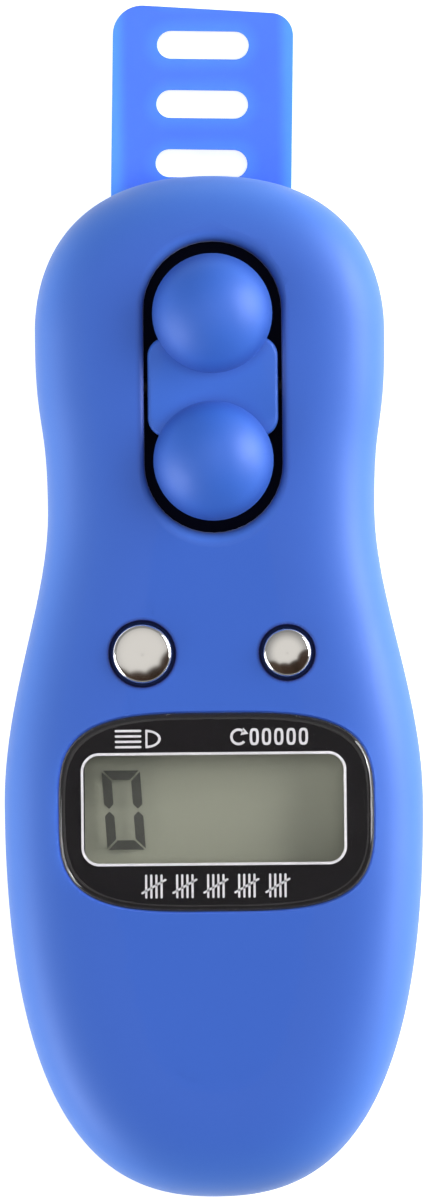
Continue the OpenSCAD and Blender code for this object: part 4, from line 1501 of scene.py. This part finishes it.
@dataclass
class SoftBox:
    """An area lamp that faces the counter."""

    name: str
    azimuth: float
    elevation: float
    level: float
    size: Spot = (0.5, 0.3)
    distance: float = 0.6
    mirrored: bool = True

    def build(self) -> None:
        """Makes the lamp; a white card that faces it would look as bright as its level."""
        data = bpy.data.lights.new(self.name, "AREA")
        data.shape = "RECTANGLE"
        data.size, data.size_y = self.size
        data.energy = self.level * (math.pi * self.distance) ** 2
        lamp = add_object(self.name, data)
        lamp.location = direction(self.azimuth, self.elevation) * self.distance
        lamp.rotation_euler = lamp.location.to_track_quat("Z", "Y").to_euler()
        lamp.visible_camera = False
        lamp.visible_glossy = lamp.visible_transmission = self.mirrored


@dataclass(frozen=True)
class SkyPatch:
    """A round patch of the surroundings that reflections see at its own level."""

    azimuth: float
    elevation: float
    radius: float
    softness: float
    color: Color

    def mix(self, tree: Tree, away: Socket, under: Socket) -> Socket:
        """Lays the patch over what lies under it.

        Args:
            tree: The world's builder.
            away: Direction that the ray looks in.
            under: Colour under the patch.

        Returns:
            The colour with the patch.
        """
        inputs = {0: away, 1: tuple(direction(self.azimuth, self.elevation))}
        near = tree.add("ShaderNodeVectorMath", inputs, operation="DOT_PRODUCT").outputs["Value"]
        half = self.softness / 2
        rim, core = (math.cos(math.radians(self.radius + side)) for side in (half, -half))
        return tree.mix(tree.ramp(near, rim, core), under, self.color)


@dataclass
class Studio:
    """Pale floor, white surroundings and soft lamps."""

    world_level: float = 0.3
    mirror_level: float = 0.3
    floor_level: float = 0.7
    floor_half: float = 3.0
    floor_gap: float = 0.02 * MM
    patches: tuple[SkyPatch, ...] = (
        SkyPatch(90, 90, 34, 24, (0.84, 0.82, 0.79, 1)),
        SkyPatch(-60, 44, 24, 6, (0.035, 0.022, 0.014, 1)),
        SkyPatch(-20, 45, 20, 6, (0.05, 0.03, 0.02, 1)),
        SkyPatch(-98, 47, 20, 6, (0.05, 0.03, 0.02, 1)),
        SkyPatch(-130, 42, 18, 6, (0.07, 0.045, 0.03, 1)),
        SkyPatch(18, 22, 9, 4, grey(26)),
        SkyPatch(212, 22, 6, 4, grey(16)),
        SkyPatch(-90, 89.4, 0.8, 0.3, grey(0)))

    def world(self) -> None:
        """Makes the surroundings: white to the eye, patched in reflections, softer as light."""
        world = bpy.data.worlds.new("surroundings")
        world.use_nodes = True
        tree = Tree(world.node_tree)
        tree.tree.nodes.clear()
        path = tree.add("ShaderNodeLightPath").outputs
        inward = tree.add("ShaderNodeNewGeometry").outputs["Incoming"]
        turned = {0: inward, "Scale": -1.0}
        away = tree.add("ShaderNodeVectorMath", turned, operation="SCALE").outputs[0]
        mirror = tree.add("ShaderNodeRGB").outputs[0]
        mirror.default_value = grey(self.mirror_level)
        for patch in self.patches:
            mirror = patch.mix(tree, away, mirror)
        clear = tree.math("MAXIMUM", path["Is Glossy Ray"], path["Is Transmission Ray"])
        glossy = tree.mix(clear, grey(self.world_level), mirror)
        seen = tree.mix(path["Is Camera Ray"], glossy, grey(1))
        background = tree.add("ShaderNodeBackground", {"Color": seen})
        tree.add("ShaderNodeOutputWorld", {"Surface": background.outputs[0]})
        bpy.context.scene.world = world

    def floor(self) -> None:
        """Makes the floor: white from above, open from below."""
        mesh = bpy.data.meshes.new("floor")
        h, z = self.floor_half, cad_low.z - self.floor_gap
        mesh.from_pydata([(-h, -h, z), (h, -h, z), (h, h, z), (-h, h, z)], [], [(0, 1, 2, 3)])
        floor = add_object("floor", mesh)
        made = Surface("floor_white")
        path = made.add("ShaderNodeLightPath").outputs
        seen = made.math("MAXIMUM", path["Is Camera Ray"], made.math(
            "MAXIMUM", path["Is Glossy Ray"], path["Is Transmission Ray"]))
        behind = made.add("ShaderNodeNewGeometry").outputs["Backfacing"]
        mesh.materials.append(made.end({
            "Base Color": grey(0.8), "Roughness": 0.9, "Specular IOR Level": 0.0,
            "Emission Color": grey(1),
            "Emission Strength": made.math("MULTIPLY", seen, self.floor_level),
            "Alpha": made.math("SUBTRACT", 1.0, behind)}))
        floor.visible_shadow = floor.visible_diffuse = False

    def build(self) -> None:
        """Makes the surroundings, the floor and the lamps."""
        self.world()
        self.floor()
        for lamp in (SoftBox("box_top", 95, 80, 0.42, size=(0.5, 0.5), mirrored=False),
                     SoftBox("box_right", 17, 18, 1.35), SoftBox("box_left", 205, 14, 0.75)):
            lamp.build()
        bpy.context.scene.view_settings.view_transform = "Standard"


def main() -> None:
    """Builds the studio and every sub-assembly in order."""
    logging.basicConfig(level=logging.INFO, format="%(message)s")
    outline = CaseOutline()
    for part in (
            StudioCamera(), Studio(), PlainNodes(),
            Case(front=EdgeRoll(13.2 * MM, 6.6 * MM, 9 * MM, 3, outline),
                 back=EdgeRoll(0.0, 6.48 * MM, 5 * MM, 2.5, outline), opening=RockerOpening()),
            Rocker(), ChromeButton("lamp_button", "lamp_key"),
            ChromeButton("reset_button", "reset_key"),
            Lens(), WindowPrint(), DisplayGlass(), Marks(),
            Moulding("finger_strap", "strap_silicone", "strap_rubber", "strap", 0.18 * MM),
            Moulding("battery_door", "cell_door", "case_plastic", "door", 0.12 * MM),
            Screw("door_screw", "door", 0.7 * MM),
            Screw("case_screws", "case", 1.0 * MM, spots=(
                (10.3 * MM, 20.775 * MM, 0.0), (9.4 * MM, -37.425 * MM, 0.0)))):
        part.build()


if __name__ == "__main__":
    main()
